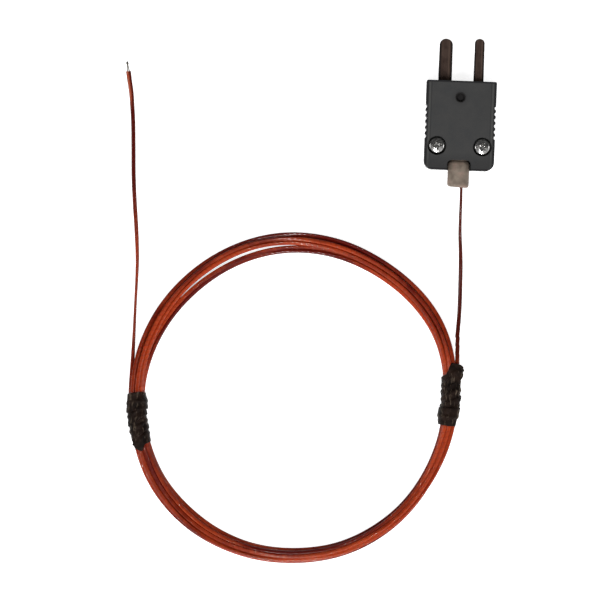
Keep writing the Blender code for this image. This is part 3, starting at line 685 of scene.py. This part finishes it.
def settle_coil():
    """Strand places along the whole coil, pushed apart until none lies in another."""
    count = COIL_STEPS + 1
    clockwise = -COIL_START + STATION_ANGLE * np.arange(count)
    aims = np.array([target(angle) for angle in clockwise])
    out = aims[:, 0] + waviness(count, 0.09, 3.0, 0.00012)
    up = aims[:, 1] + waviness(count, 0.08, 8.0, 0.00008)
    roll = math.radians(MEAN_ROLL) + waviness(count, 0.11, 5.0, math.radians(40.0))
    roll *= np.clip(np.arange(count) / 8.0, 0, 1)
    aim_out, aim_up = out.copy(), up.copy()
    pairs = [(first, second) for first in range(PASSES) for second in range(first + 1, PASSES)]
    for sweep_number in range(SETTLE_SWEEPS):
        pull = PULL if sweep_number < PULLED_SWEEPS else 0.0
        out += (aim_out - out) * pull
        up += (aim_up - up) * pull
        for first, second in pairs:
            a = np.arange(first * STATIONS, min((first + 1) * STATIONS, count))
            b = a + (second - first) * STATIONS
            a, b = a[b < count], b[b < count]
            if not len(a):
                continue
            du, dw = out[b] - out[a], up[b] - up[a]
            gap = np.hypot(du, dw) + 1e-9
            direction = np.arctan2(dw, du)
            room = (reach(roll[a], direction) + reach(roll[b], direction)) * STRAND_CRUSH
            short = np.clip(room - gap, 0, None) * PUSH / gap
            out[a] -= du * short
            up[a] -= dw * short
            out[b] += du * short
            up[b] += dw * short
        up = np.maximum(up, reach(roll, math.pi / 2) + FLOOR_GAP)
        for line in (out, up):
            line[1:-1] += STIFFNESS * (0.5 * (line[:-2] + line[2:]) - line[1:-1])
    return clockwise, out, up, roll


def bundle_radius(angle):
    angles, pixels = zip(*BUNDLE_RADIUS)
    return float(np.interp((angle - 2.0) % 360.0 + 2.0, angles, pixels)) * PIXEL


def smooth_radius():
    """The bundle's mean radius by whole degree, with the corners of the table smoothed."""
    raw = np.array([bundle_radius(a) for a in range(360)])
    kernel = np.exp(-0.5 * (np.arange(-15, 16) / 6.0) ** 2)
    kernel /= kernel.sum()
    return np.convolve(np.concatenate([raw[-15:], raw, raw[:15]]), kernel, "valid")


# Tails: the photographed route from the grommet to the coil, and from the coil to the tip. Each row is a
# place in millimetres and the wire's roll in degrees
PLUG_TAIL = (
    (0.35, -9.00, 3.95, 80), (0.55, -12.50, 3.93, 82), (0.72, -15.50, 3.89, 84), (0.80, -17.50, 3.83, 86),
    (0.84, -19.10, 3.72, 88), (0.87, -21.30, 3.44, 82), (0.88, -24.70, 2.72, 74), (0.97, -28.50, 1.84, 62),
    (1.25, -32.30, 1.08, 48), (1.44, -36.00, 0.62, 34), (1.51, -39.80, 0.45, 24), (1.55, -43.60, 0.45, 18),
    (1.52, -47.40, 0.52, 14), (1.34, -51.10, 0.78, 6), (1.16, -54.70, 1.36, 2),
)
TIP_TAIL = (
    (-75.20, -60.50, 1.00, 40), (-75.13, -56.30, 0.60, 62), (-75.08, -52.00, 0.55, 75),
    (-75.03, -47.00, 0.55, 84), (-74.96, -42.60, 0.55, 74), (-74.96, -37.90, 0.50, 58),
    (-75.37, -31.30, 0.45, 36), (-76.09, -23.80, 0.42, 16), (-76.55, -18.10, 0.42, 6),
    (-76.88, -10.60, 0.42, 0), (-77.16, -4.90, 0.42, -4), (-77.49, -1.20, 0.42, -3), (-77.93, 2.60, 0.42, 0),
    (-78.28, 4.50, 0.42, 0), (-78.72, 7.10, 0.42, 0),
)


def tail(table):
    """A tail's points in metres and rolls in radians."""
    return [(x / 1000, y / 1000, z / 1000) for x, y, z, _ in table], [math.radians(row[3]) for row in table]


def wire_route(strands):
    """Centre line of the whole wire and its roll, evenly spaced."""
    clockwise, out, up, roll = strands
    radius = smooth_radius()
    points, rolls = tail(PLUG_TAIL)
    for angle, u, w, turn in zip(clockwise, out, up, roll):
        here = math.radians(-angle)
        at = np.interp((-angle) % 360.0, np.arange(361), np.append(radius, radius[0])) + u
        points.append((COIL_CENTRE.x + at * math.cos(here), COIL_CENTRE.y + at * math.sin(here), w))
        rolls.append(turn)
    tip_points, tip_rolls = tail(TIP_TAIL)
    line, rolls = evenly(np.array(points + tip_points), np.array(rolls + tip_rolls))
    start, end = (int(place / WIRE_STEP) for place in RUN_IN)
    window = np.sin(np.linspace(0.0, math.pi, end - start))[:, None] ** 0.5
    for _ in range(60):
        middle = 0.5 * (line[start - 4:end - 4] + line[start + 4:end + 4])
        line[start:end] += 0.5 * window * (middle - line[start:end])
    return line, rolls


def evenly(points, rolls):
    """Resample a line with a smooth curve through its points, WIRE_STEP apart."""
    lengths = np.concatenate([[0.0], np.cumsum(np.linalg.norm(np.diff(points, axis=0), axis=1))])
    slopes = np.gradient(points, lengths, axis=0)
    count = int(round(lengths[-1] / WIRE_STEP))
    at = np.linspace(0.0, lengths[-1], count + 1)
    index = np.clip(np.searchsorted(lengths, at, side="right") - 1, 0, len(points) - 2)
    span = (lengths[index + 1] - lengths[index])[:, None]
    t = ((at - lengths[index]) / span[:, 0])[:, None]
    line = (points[index] * (2 * t**3 - 3 * t**2 + 1) + slopes[index] * span * (t**3 - 2 * t**2 + t)
            + points[index + 1] * (3 * t**2 - 2 * t**3) + slopes[index + 1] * span * (t**3 - t**2))
    return line, np.interp(at, lengths, rolls)


def wire_section():
    """Outline of the wrapped pair: two round lobes with a shallow groove between them."""
    outline = []
    for step in range(WIRE_SIDES):
        angle = math.tau * step / WIRE_SIDES
        side, top = math.cos(angle), math.sin(angle)
        waist = 1.0 - 0.07 * math.exp(-((side / 0.28) ** 2))
        x = WIRE_WIDTH / 2 * math.copysign(abs(side) ** 0.86, side)
        y = WIRE_THICKNESS / 2 * math.copysign(abs(top) ** 0.86, top) * waist
        outline.append((x, y))
    return outline


def sweep(name, line, rolls, outline, taper):
    """A tube of the outline along the line, each ring turned by its roll and scaled by its taper."""
    curve = bpy.data.curves.new(name, "CURVE")
    curve.dimensions = "3D"
    curve.twist_mode = "Z_UP"
    curve.use_fill_caps = True
    section = bpy.data.curves.new(name + "_section", "CURVE")
    section.dimensions = "2D"
    ring = section.splines.new("POLY")
    ring.points.add(len(outline) - 1)
    for point, (x, y) in zip(ring.points, outline):
        point.co = (x, y, 0.0, 1.0)
    ring.use_cyclic_u = True
    section_piece = in_scene(name + "_section", section)
    curve.bevel_mode = "OBJECT"
    curve.bevel_object = section_piece
    spline = curve.splines.new("POLY")
    spline.points.add(len(line) - 1)
    for index, (point, place, roll) in enumerate(zip(spline.points, line, rolls)):
        point.co = (*place, 1.0)
        point.tilt = roll
        point.radius = taper[index]
    return smooth(applied(in_scene(name + "_tube", curve), section_piece))


def mark_length(mesh, length, sides):
    """Keep each ring's distance along the wire and each side's place round it, as a UV map."""
    for layer in list(mesh.uv_layers):
        mesh.uv_layers.remove(layer)
    layer = mesh.uv_layers.new(name="wire")
    rings = len(mesh.vertices) // sides
    for face in mesh.polygons:
        corners = [mesh.loops[i].vertex_index for i in face.loop_indices]
        around = [c % sides for c in corners]
        wraps = max(around) - min(around) > sides / 2
        for loop, corner, side in zip(face.loop_indices, corners, around):
            share = side / sides + (1.0 if wraps and side < sides / 2 else 0.0)
            layer.data[loop].uv = (corner // sides * length / (rings - 1), share)


def build_wire(strands):
    line, rolls = wire_route(strands)
    length = float(np.linalg.norm(np.diff(line, axis=0), axis=1).sum())
    from_tip = (len(line) - 1 - np.arange(len(line))) * WIRE_STEP
    splay = 1.0 + SPLAY * np.clip(1.0 - from_tip / SPLAY_LENGTH, 0.0, 1.0)
    mesh = sweep("wire", line, rolls, wire_section(), splay)
    mark_length(mesh, length, WIRE_SIDES)
    wire = new_piece("wire", mesh, AMBER_FILM, "wire_insulation", "wire_to_plug", "coil_ring", "wire_to_tip")
    return wire, line, length


# Twist ties

def wrapped_bundle(strands):
    """Distance from the bundle's middle to a tight wrap round its strands, by degree along and round it."""
    clockwise, out, up, roll = strands
    directions = np.radians(np.arange(0, 360, WRAP_STEP))
    table = {}
    for angle in [*range(-15, 15), *range(158, 188)]:
        wraps = [angle + 360.0 * turn for turn in range(PASSES)]
        wraps = [a for a in wraps if clockwise[0] <= a <= clockwise[-1]]
        u, w, r = (np.interp(wraps, clockwise, line)[:, None] for line in (out, up, roll))
        edges = u * np.cos(directions) + (w - TIE_Z) * np.sin(directions) + reach(r, directions)
        hull = np.max(edges, axis=0)
        slid = [np.roll(hull, -step) / math.cos(math.radians(WRAP_STEP * step)) for step in range(-8, 9)]
        table[angle] = np.min(slid, axis=0)
    return table


def ribbon_travel(wraps, flat_ends, droop):
    """How far along the bundle each column of the ribbon lies: level at its ends, a helix between them."""
    def eased(turn):
        return 0.5 * (turn + np.sqrt(turn * turn + 0.02))

    turns = np.arange(round(wraps * TIE_COLUMNS) + 1) / TIE_COLUMNS
    travel = eased(turns - flat_ends[0]) - eased(turns - (wraps - flat_ends[1]))
    fall = np.clip((turns - 0.10) / 0.30, 0, 1)
    fall = fall * fall * (3.0 - 2.0 * fall)
    return (travel - (travel[0] + travel[-1]) / 2) * TIE_PITCH - droop * (1.0 - fall)


def wound_heights(table, middle, travel, first_side, seed):
    """Distance from the bundle's middle to each point of the ribbon, which lies on its own earlier wraps."""
    cells = np.arange(-CELLS_REACH, CELLS_REACH, CELL)
    angles = np.radians((first_side + np.arange(TIE_COLUMNS) * 360.0 / TIE_COLUMNS) % 360.0)
    directions = np.radians(np.arange(0, 360 + WRAP_STEP, WRAP_STEP))
    laid = np.empty((TIE_COLUMNS, len(cells)))
    for place, cell in enumerate(cells):
        ring = table[nearest(table, middle + math.degrees(cell / TIE_RING_RADIUS))]
        laid[:, place] = np.interp(angles, directions, np.append(ring, ring[0])) + TIE_SLACK
    sides = np.linspace(-1, 1, TIE_ROWS + 1)
    rib = np.exp(-((sides * TIE_WIDTH / TIE_RIB_WIDTH) ** 2) * 2.2) * TIE_RIB_HEIGHT
    heights = []
    for column, along in enumerate(travel):
        beneath = laid[column % TIE_COLUMNS]
        rows = [np.abs(cells - (along + side * TIE_WIDTH / 2)) < LAID_REACH for side in sides]
        under = np.array([beneath[row].max() for row in rows])
        under = np.convolve(np.pad(under, 2, "edge"), (0.1, 0.2, 0.4, 0.2, 0.1), "valid")
        crumple = [noise.noise(Vector((column * 0.19, side * 1.7, seed))) * CRUMPLE for side in sides]
        height = under + TIE_SKIN / 2 + 0.00002 + rib + np.array(crumple) * (1 - rib / TIE_RIB_HEIGHT)
        heights.append(height)
        covered = np.abs(cells - along) < TIE_WIDTH / 2
        beneath[covered] = np.interp(cells[covered], along + sides * TIE_WIDTH / 2, height + TIE_SKIN / 2)
    heights = np.array(heights)
    for _ in range(3):
        heights[1:-1] += 0.5 * (0.5 * (heights[:-2] + heights[2:]) - heights[1:-1])
    return heights


def nearest(table, angle):
    return min(table, key=lambda known: abs(known - angle))


def tie_ribbon(table, middle, wraps, flat_ends, droop, first_side, lifts, seed, inward):
    """A flat strip with a wire rib, wound round the bundle, with its two ends lifted."""
    travel = ribbon_travel(wraps, flat_ends, droop)
    heights = wound_heights(table, middle, travel, first_side, seed)
    columns = len(travel) - 1
    bm = bmesh.new()
    bmesh.ops.create_grid(bm, x_segments=columns, y_segments=TIE_ROWS, size=1.0)
    radius = smooth_radius()
    for vert in bm.verts:
        column = round((vert.co.x + 1) / 2 * columns)
        row = round((vert.co.y + 1) / 2 * TIE_ROWS)
        turn = math.radians(first_side + column * 360.0 / TIE_COLUMNS)
        slant = SLANT * noise.noise(Vector((column * 0.04, seed, 0.0)))
        from_end = min(1.0, min(column, columns - column) / (0.15 * TIE_COLUMNS))
        side = vert.co.y * math.sqrt(1.0 - 0.9 * (1.0 - from_end) ** 2)
        if side > 0:
            side *= 1.0 + 0.4 * max(0.0, 1.0 - column / (0.5 * TIE_COLUMNS))
        clockwise = middle + math.degrees((travel[column] + side * TIE_WIDTH / 2 + slant) / TIE_RING_RADIUS)
        height = heights[column][row]
        for end, lift in zip((column, columns - column), lifts):
            height += lift * max(0.0, 1.0 - end / (0.16 * TIE_COLUMNS)) ** 2
        here = math.radians(-clockwise)
        at = float(np.interp(-clockwise % 360.0, np.arange(360), radius)) - inward + height * math.cos(turn)
        vert.co = (COIL_CENTRE.x + at * math.cos(here), COIL_CENTRE.y + at * math.sin(here),
                   max(TIE_Z + height * math.sin(turn), TIE_SKIN))
    return bm


def build_tie(name, node, *shape):
    tie = new_piece(name, mesh_of(tie_ribbon(*shape), name), TIE_PLASTIC, "tie_plastic", node)
    skin = tie.modifiers.new("Skin", "SOLIDIFY")
    skin.thickness = TIE_SKIN
    skin.offset = 0.0
    round_off = tie.modifiers.new("Round", "SUBSURF")
    round_off.levels = 1
    round_off.render_levels = 1
    return tie


# Measuring junction

def junction_frame():
    """The wire's end, the way it points, and the way across it on the floor."""
    ahead = Vector(WIRE_LINE[-1] - WIRE_LINE[-4]).normalized()
    return Vector(WIRE_LINE[-1]), ahead, Vector((ahead.y, -ahead.x, 0.0)).normalized()


def build_junction():
    end, ahead, aside = junction_frame()
    turns = [math.tau * side / CONDUCTOR_SIDES for side in range(CONDUCTOR_SIDES)]
    circle = [(CONDUCTOR_RADIUS * math.cos(turn), CONDUCTOR_RADIUS * math.sin(turn)) for turn in turns]
    shares = [step / CONDUCTOR_STEPS for step in range(CONDUCTOR_STEPS + 1)]
    taper = [1.0 - CONDUCTOR_TAPER * step / CONDUCTOR_STEPS for step in range(CONDUCTOR_STEPS + 1)]
    pieces = []
    for word, side, finish in (("positive", 1, POSITIVE_ALLOY), ("negative", -1, NEGATIVE_ALLOY)):
        line = []
        for share in shares:
            apart = 0.00021 * (1 - share) ** 1.5 + 0.00008
            line.append(end + ahead * (CONDUCTOR_START + CONDUCTOR_LENGTH * share) + aside * side * apart
                        + Vector((0, 0, 0.00003 * side * math.sin(math.pi * share))))
        mesh = sweep("bare_" + word, np.array(line), [0.0] * len(line), circle, taper)
        pieces.append(new_piece("bare_" + word, mesh, finish, "conductor_alloy", "junction_wire_" + word))
    bm = bmesh.new()
    bmesh.ops.create_uvsphere(bm, u_segments=24, v_segments=16, radius=BEAD_RADIUS)
    for vert in bm.verts:
        z = vert.co.z / BEAD_RADIUS
        pinch = 1.0 - 0.45 * max(0.0, z) ** 1.3
        vert.co = (vert.co.x * pinch, vert.co.y * pinch * 0.85, vert.co.z * (1.7 if z > 0 else 1.1))
        vert.co += vert.normal * 0.00002 * noise.noise(vert.co * 5000)
    turn_to(bm, ahead)
    move(bm, end + ahead * BEAD_PLACE)
    pieces.append(new_piece("bead", mesh_of(bm, "bead"), BEAD_METAL, "bead_metal", "junction_bead"))
    return pieces


# Plug

def block_mesh(low, high, corner=0.0, segments=6):
    bm = bmesh.new()
    add_block(bm, low, high)
    if corner:
        soften(bm, [e for e in bm.edges if upright(e)], corner, segments)
    return mesh_of(bm, "block")


def rod_mesh(x, y, radius, low_z, high_z, steps=48, end_radius=None):
    bm = bmesh.new()
    add_rod(bm, steps, radius, high_z - low_z, end_radius)
    move(bm, (x, y, (low_z + high_z) / 2))
    return mesh_of(bm, "rod")


def grip_mesh():
    bm = bmesh.new()
    for side in (-1, 1):
        for index in range(GRIP_COUNT):
            made = add_rod(bm, 24, GRIP_RADIUS, GRIP_CUTTER_HEIGHT)
            x = side * (BODY_WIDTH / 2 + GRIP_RADIUS - GRIP_DEPTH)
            move(bm, (x, GRIP_FRONT_Y - index * GRIP_PITCH, SPLIT_Z), made)
    return mesh_of(bm, "grips")


def collar_mesh(radius, low_y, high_y):
    bm = bmesh.new()
    add_rod(bm, 48, radius, high_y - low_y)
    turn_to(bm, (0, 1, 0))
    move(bm, (0, (low_y + high_y) / 2, SPLIT_Z))
    return mesh_of(bm, "collar")


def shell_blank(low_z, high_z, outer_z):
    """Half of the body: rounded upright corners, and a flat bevel along each long side."""
    bm = bmesh.new()
    add_block(bm, (-BODY_WIDTH / 2, REAR_Y, low_z), (BODY_WIDTH / 2, FRONT_Y, high_z))
    soften(bm, [e for e in bm.edges if upright(e) and e.verts[0].co.y < 0], REAR_CORNER, 10)
    soften(bm, [e for e in bm.edges if upright(e) and e.verts[0].co.y > FRONT_Y - 0.0001], FRONT_CORNER, 5)
    rise = 1.0 if outer_z > SPLIT_Z else -1.0
    for side in (-1, 1):
        bevel_edge = (side * (BODY_WIDTH / 2 - SIDE_BEVEL), 0.0, outer_z)
        bevel_way = Vector((side * SIDE_BEVEL_DROP, 0.0, rise * SIDE_BEVEL)).normalized()
        cut = bmesh.ops.bisect_plane(bm, geom=bm.verts[:] + bm.edges[:] + bm.faces[:], clear_outer=True,
                                     plane_co=bevel_edge, plane_no=bevel_way)
        rim = [e for e in cut["geom_cut"] if isinstance(e, bmesh.types.BMEdge)]
        bmesh.ops.contextual_create(bm, geom=rim)
    return mesh_of(bm, "shell")


def shared_hollows():
    """The hollows that both shells have: grips, grommet seat, pin slots and the lead channel."""
    slot = BLADE_THICKNESS / 2 + FIT
    hollows = [grip_mesh(), collar_mesh(GROMMET_NECK_RADIUS + FIT, REAR_Y - PAST, -0.0090),
               collar_mesh(GROMMET_FLANGE_RADIUS + 2 * FIT, -0.0099, -0.0083),
               collar_mesh(GROMMET_RADIUS + FIT, REAR_Y - PAST, -0.0113), block_mesh(*LEAD_CHANNEL)]
    for x, width in ((-BLADE_X, WIDE_BLADE[0]), (BLADE_X, NARROW_BLADE[0])):
        half = width / 2 + FIT
        hollows.append(block_mesh((x - half, 0.0055, SPLIT_Z - slot), (x + half, 0.0080, SPLIT_Z + slot)))
    return hollows


def build_cover():
    bottom = SPLIT_Z + SEAM / 2
    hollows = shared_hollows()
    hollows.append(block_mesh(*COVER_CAVITY))
    hollows.append(block_mesh(*CABLE_NOTCH, NOTCH_CORNER, 8))
    hollows.append(rod_mesh(DIMPLE_X, DIMPLE_Y, DIMPLE_RADIUS * 0.55, BODY_THICKNESS - DIMPLE_DEPTH,
                            BODY_THICKNESS + 0.0003, 48, DIMPLE_RADIUS * 1.18))
    for x, y in SCREW_PLACES:
        hollows.append(rod_mesh(x, y, WELL_RADIUS, BODY_THICKNESS - WELL_DEPTH, BODY_THICKNESS + PAST))
        hollows.append(rod_mesh(x, y, SHANK_RADIUS + FIT, 0.0030, BODY_THICKNESS - WELL_DEPTH + PAST))
    blank = shell_blank(bottom, BODY_THICKNESS, BODY_THICKNESS)
    finish_shell("cover", carved(blank, hollows), "cover_shell")


def build_base():
    top = SPLIT_Z - SEAM / 2
    hollows = shared_hollows()
    hollows += [block_mesh(*BASE_CAVITY), block_mesh(*BASE_REAR_POCKET), block_mesh(*BASE_MIDDLE_POCKET)]
    for x in (-BLADE_X, BLADE_X):
        hollows.append(rod_mesh(x, TERMINAL_Y, TERMINAL_BORE, 0.0012, 0.0050))
    for x, y in SCREW_PLACES:
        hollows.append(rod_mesh(x, y, INSERT_BORE, 0.0014, 0.0050))
    finish_shell("base", carved(shell_blank(0.0, top, 0.0), hollows), "base_shell")


def finish_shell(name, mesh, node):
    shell = new_piece(name, smooth(mesh, SHELL_SHARP), CHARCOAL_PLASTIC, "body_plastic", node)
    edge_bevel(shell, EDGE_ROUND)


def cross_cutters(x, y, top_z, turn):
    """The cross as separate closed solids, turned about the screw."""
    cutters = []
    arms = ((CROSS_LONG, CROSS_SHORT, (0.45, 0.55, 1.0)), (CROSS_SHORT, CROSS_LONG, (0.55, 0.45, 1.0)))
    for half_x, half_y, foot in arms:
        bm = bmesh.new()
        made = add_block(bm, (-half_x, -half_y, -CROSS_DEPTH), (half_x, half_y, 0.0003))
        bmesh.ops.scale(bm, vec=foot, verts=[v for v in made if v.co.z < 0])
        turn_to(bm, (math.cos(turn), math.sin(turn), 0), "X", "Z")
        move(bm, (x, y, top_z))
        cutters.append(mesh_of(bm, "cross"))
    cutters.append(rod_mesh(x, y, CROSS_MIDDLE, top_z - 0.0010, top_z + 0.0002, 24, CROSS_MOUTH))
    return cutters


def build_screw(name, node, place, turn):
    x, y = place
    profile = [(0.0, HEAD_HEIGHT)]
    for share in (0.2, 0.4, 0.55, 0.7, 0.8, 0.88, 0.94, 0.98, 1.0):
        profile.append((HEAD_RADIUS * share, HEAD_HEIGHT * (1.0 - 0.20 * share**2 - 0.22 * share**16)))
    profile += [(HEAD_RADIUS, 0.0), (SHANK_RADIUS, 0.0), (SHANK_RADIUS, -SHANK_LENGTH + SHANK_CHAMFER),
                (SHANK_RADIUS - SHANK_CHAMFER, -SHANK_LENGTH), (0.0, -SHANK_LENGTH)]
    bm = bmesh.new()
    turned(bm, profile, 64)
    move(bm, (x, y, HEAD_Z))
    mesh = carved(mesh_of(bm, name), cross_cutters(x, y, HEAD_Z + HEAD_HEIGHT, turn))
    screw = new_piece(name, smooth(mesh, 32.0), NICKEL_PLATE, "screw_metal", node)
    edge_bevel(screw, HEAD_EDGE, 3, 40.0)


def build_blade(name, node, finish, x, width, tip, reach_out):
    half, tab = width / 2, BLADE_TAB_HALF
    shoulder, rear = FRONT_Y - BLADE_SHOULDER, BLADE_TAIL_Y
    top = FRONT_Y + reach_out
    outline = [(-half, top), (-half - BLADE_FLARE, shoulder), (-tab, shoulder), (-tab, rear), (tab, rear),
               (tab, shoulder), (half + BLADE_FLARE, shoulder), (half, top)]
    bm = bmesh.new()
    face = bm.faces.new([bm.verts.new((x + px, py, SPLIT_Z - BLADE_THICKNESS / 2)) for px, py in outline])
    raised = bmesh.ops.extrude_face_region(bm, geom=[face])["geom"]
    move(bm, (0, 0, BLADE_THICKNESS), [v for v in raised if isinstance(v, bmesh.types.BMVert)])
    soften(bm, [e for e in bm.edges if upright(e) and e.verts[0].co.y > top - 0.0001], tip, 14)
    soften(bm, [e for e in bm.edges if upright(e) and e.verts[0].co.y < rear + 0.0001], BLADE_TAB_CORNER, 5)
    mesh = carved(mesh_of(bm, name), [rod_mesh(x, TERMINAL_Y, TERMINAL_BORE, 0.0030, 0.0050)])
    edge_bevel(new_piece(name, smooth(mesh, SHELL_SHARP), finish, "blade_alloy", node), BLADE_EDGE, 3)


def build_grommet():
    """A soft bush: outer sleeve with rounded ends, a neck that the shells grip, and an inner flange."""
    front, end = GROMMET_FRONT_ROUND, GROMMET_END_ROUND
    profile = [(GROMMET_BORE, 0.00015), (GROMMET_BORE, GROMMET_FLANGE_TO),
               (GROMMET_FLANGE_RADIUS, GROMMET_FLANGE_TO), (GROMMET_FLANGE_RADIUS, GROMMET_FLANGE_FROM),
               (GROMMET_NECK_RADIUS, GROMMET_FLANGE_FROM), (GROMMET_NECK_RADIUS, GROMMET_LENGTH)]
    profile += rounded((GROMMET_RADIUS - front, GROMMET_LENGTH - front), front, 90, 0, 8)
    profile += rounded((GROMMET_RADIUS - end, end), end, 0, -90, 6)
    profile += [(GROMMET_BORE + 0.0002, 0.0), (GROMMET_BORE, 0.00015)]
    bm = bmesh.new()
    turned(bm, profile, 64)
    for vert in bm.verts:
        if vert.co.z < 0.005:
            vert.co.z += 0.05 * vert.co.x * (1 - vert.co.z / 0.005)
            swell = GROMMET_SWELL * noise.noise(vert.co * 700)
            vert.co.x *= 1.0 + swell / GROMMET_RADIUS
            vert.co.y *= 1.0 + swell / GROMMET_RADIUS
    turn_to(bm, (0, 1, 0))
    move(bm, (0, GROMMET_END_Y, SPLIT_Z))
    new_piece("bush", mesh_of(bm, "bush", 50.0), GROMMET_RUBBER, "grommet_rubber", "grommet")


def dress_inner_pieces():
    """Finishes for the pieces inside the plug, which keep their CAD shapes."""
    finishes = {"terminal_screw": NICKEL_PLATE, "terminal_washer": NICKEL_PLATE,
                "threaded_insert": TURNED_BRASS, "lead_positive": POSITIVE_ALLOY,
                "lead_negative": NEGATIVE_ALLOY}
    for name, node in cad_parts.items():
        for start, finish in finishes.items():
            if name.startswith(start):
                node.data.materials.clear()
                node.data.materials.append(finish)


# Stage and light

def build_floor():
    bm = bmesh.new()
    bmesh.ops.create_grid(bm, x_segments=1, y_segments=1, size=3.0)
    mesh = mesh_of(bm, "floor")
    finish = Finish("white_floor")
    seen = finish.node("ShaderNodeLightPath", output="Is Camera Ray")
    mirrored = finish.node("ShaderNodeLightPath", output="Is Glossy Ray")
    through = finish.node("ShaderNodeLightPath", output="Is Transmission Ray")
    glow = (seen + mirrored + through).clamped() * 0.80
    finish.set(Base_Color=rgb(0.86, 0.86, 0.86), Roughness=0.9, Specular_IOR_Level=0.0,
               Emission_Color=rgb(1.0, 1.0, 1.0), Emission_Strength=glow)
    mesh.materials.append(finish.material)
    floor = in_scene("floor", mesh)


def build_light():
    world = bpy.data.worlds.new("studio")
    bpy.context.scene.world = world
    world.use_nodes = True
    tree = world.node_tree
    toward = tree.nodes.new("ShaderNodeSeparateXYZ")
    tree.links.new(tree.nodes.new("ShaderNodeTexCoord").outputs["Generated"], toward.inputs["Vector"])
    fade = tree.nodes.new("ShaderNodeMapRange")
    for socket, value in (("From Min", -0.6), ("From Max", 0.05), ("To Min", 0.95), ("To Max", 0.08)):
        fade.inputs[socket].default_value = value
    tree.links.new(toward.outputs["Y"], fade.inputs["Value"])
    tree.nodes["Background"].inputs["Color"].default_value = rgb(1.0, 1.0, 1.0)
    tree.links.new(fade.outputs["Result"], tree.nodes["Background"].inputs["Strength"])
    x, y = PICTURE_CENTRE
    for name, (aside, ahead, height), size, power in LAMPS:
        data = bpy.data.lights.new(name, "AREA")
        data.shape = "RECTANGLE"
        data.size, data.size_y = size
        data.energy = power
        place = Vector((x + aside, y + ahead, height))
        lamp = in_scene(name, data)
        lamp.location = place
        lamp.rotation_euler = (Vector((x, y, 0.0)) - place).to_track_quat("-Z", "Y").to_euler()


def set_view():
    """Plain colours: nothing between the scene's light and the picture."""
    bpy.context.scene.view_settings.view_transform = "Standard"


AMBER_FILM = amber_film()
TIE_PLASTIC = tie_plastic()
CHARCOAL_PLASTIC = charcoal_plastic()
NICKEL_PLATE = nickel_plate()
TURNED_BRASS = turned_brass()
GROMMET_RUBBER = grommet_rubber()
POSITIVE_ALLOY = drawn_alloy("positive_alloy", rgb(0.11, 0.095, 0.070), rgb(0.22, 0.20, 0.155))
NEGATIVE_ALLOY = drawn_alloy("negative_alloy", rgb(0.12, 0.105, 0.085), rgb(0.24, 0.22, 0.19))
BEAD_METAL = drawn_alloy("welded_bead", rgb(0.050, 0.050, 0.038), rgb(0.15, 0.145, 0.115))

place_camera()
STRANDS = settle_coil()
WIRE, WIRE_LINE, WIRE_LENGTH = build_wire(STRANDS)
WRAP_TABLE = wrapped_bundle(STRANDS)
TIES = [build_tie(name, node, WRAP_TABLE, *shape) for name, node, *shape in TIE_TABLE]
JUNCTION = build_junction()

build_cover()
build_base()
build_screw("screw_left", "cover_screw_left", SCREW_PLACES[0], math.radians(12))
build_screw("screw_right", "cover_screw_right", SCREW_PLACES[1], math.radians(-8))
build_blade("pin_wide", "blade_wide", dark_alloy("dark_alloy_wide", -BLADE_X, WIDE_BLADE[0]), -BLADE_X,
            *WIDE_BLADE)
build_blade("pin_narrow", "blade_narrow", dark_alloy("dark_alloy_narrow", BLADE_X, NARROW_BLADE[0]), BLADE_X,
            *NARROW_BLADE)
build_grommet()
dress_inner_pieces()
build_floor()
build_light()
set_view()
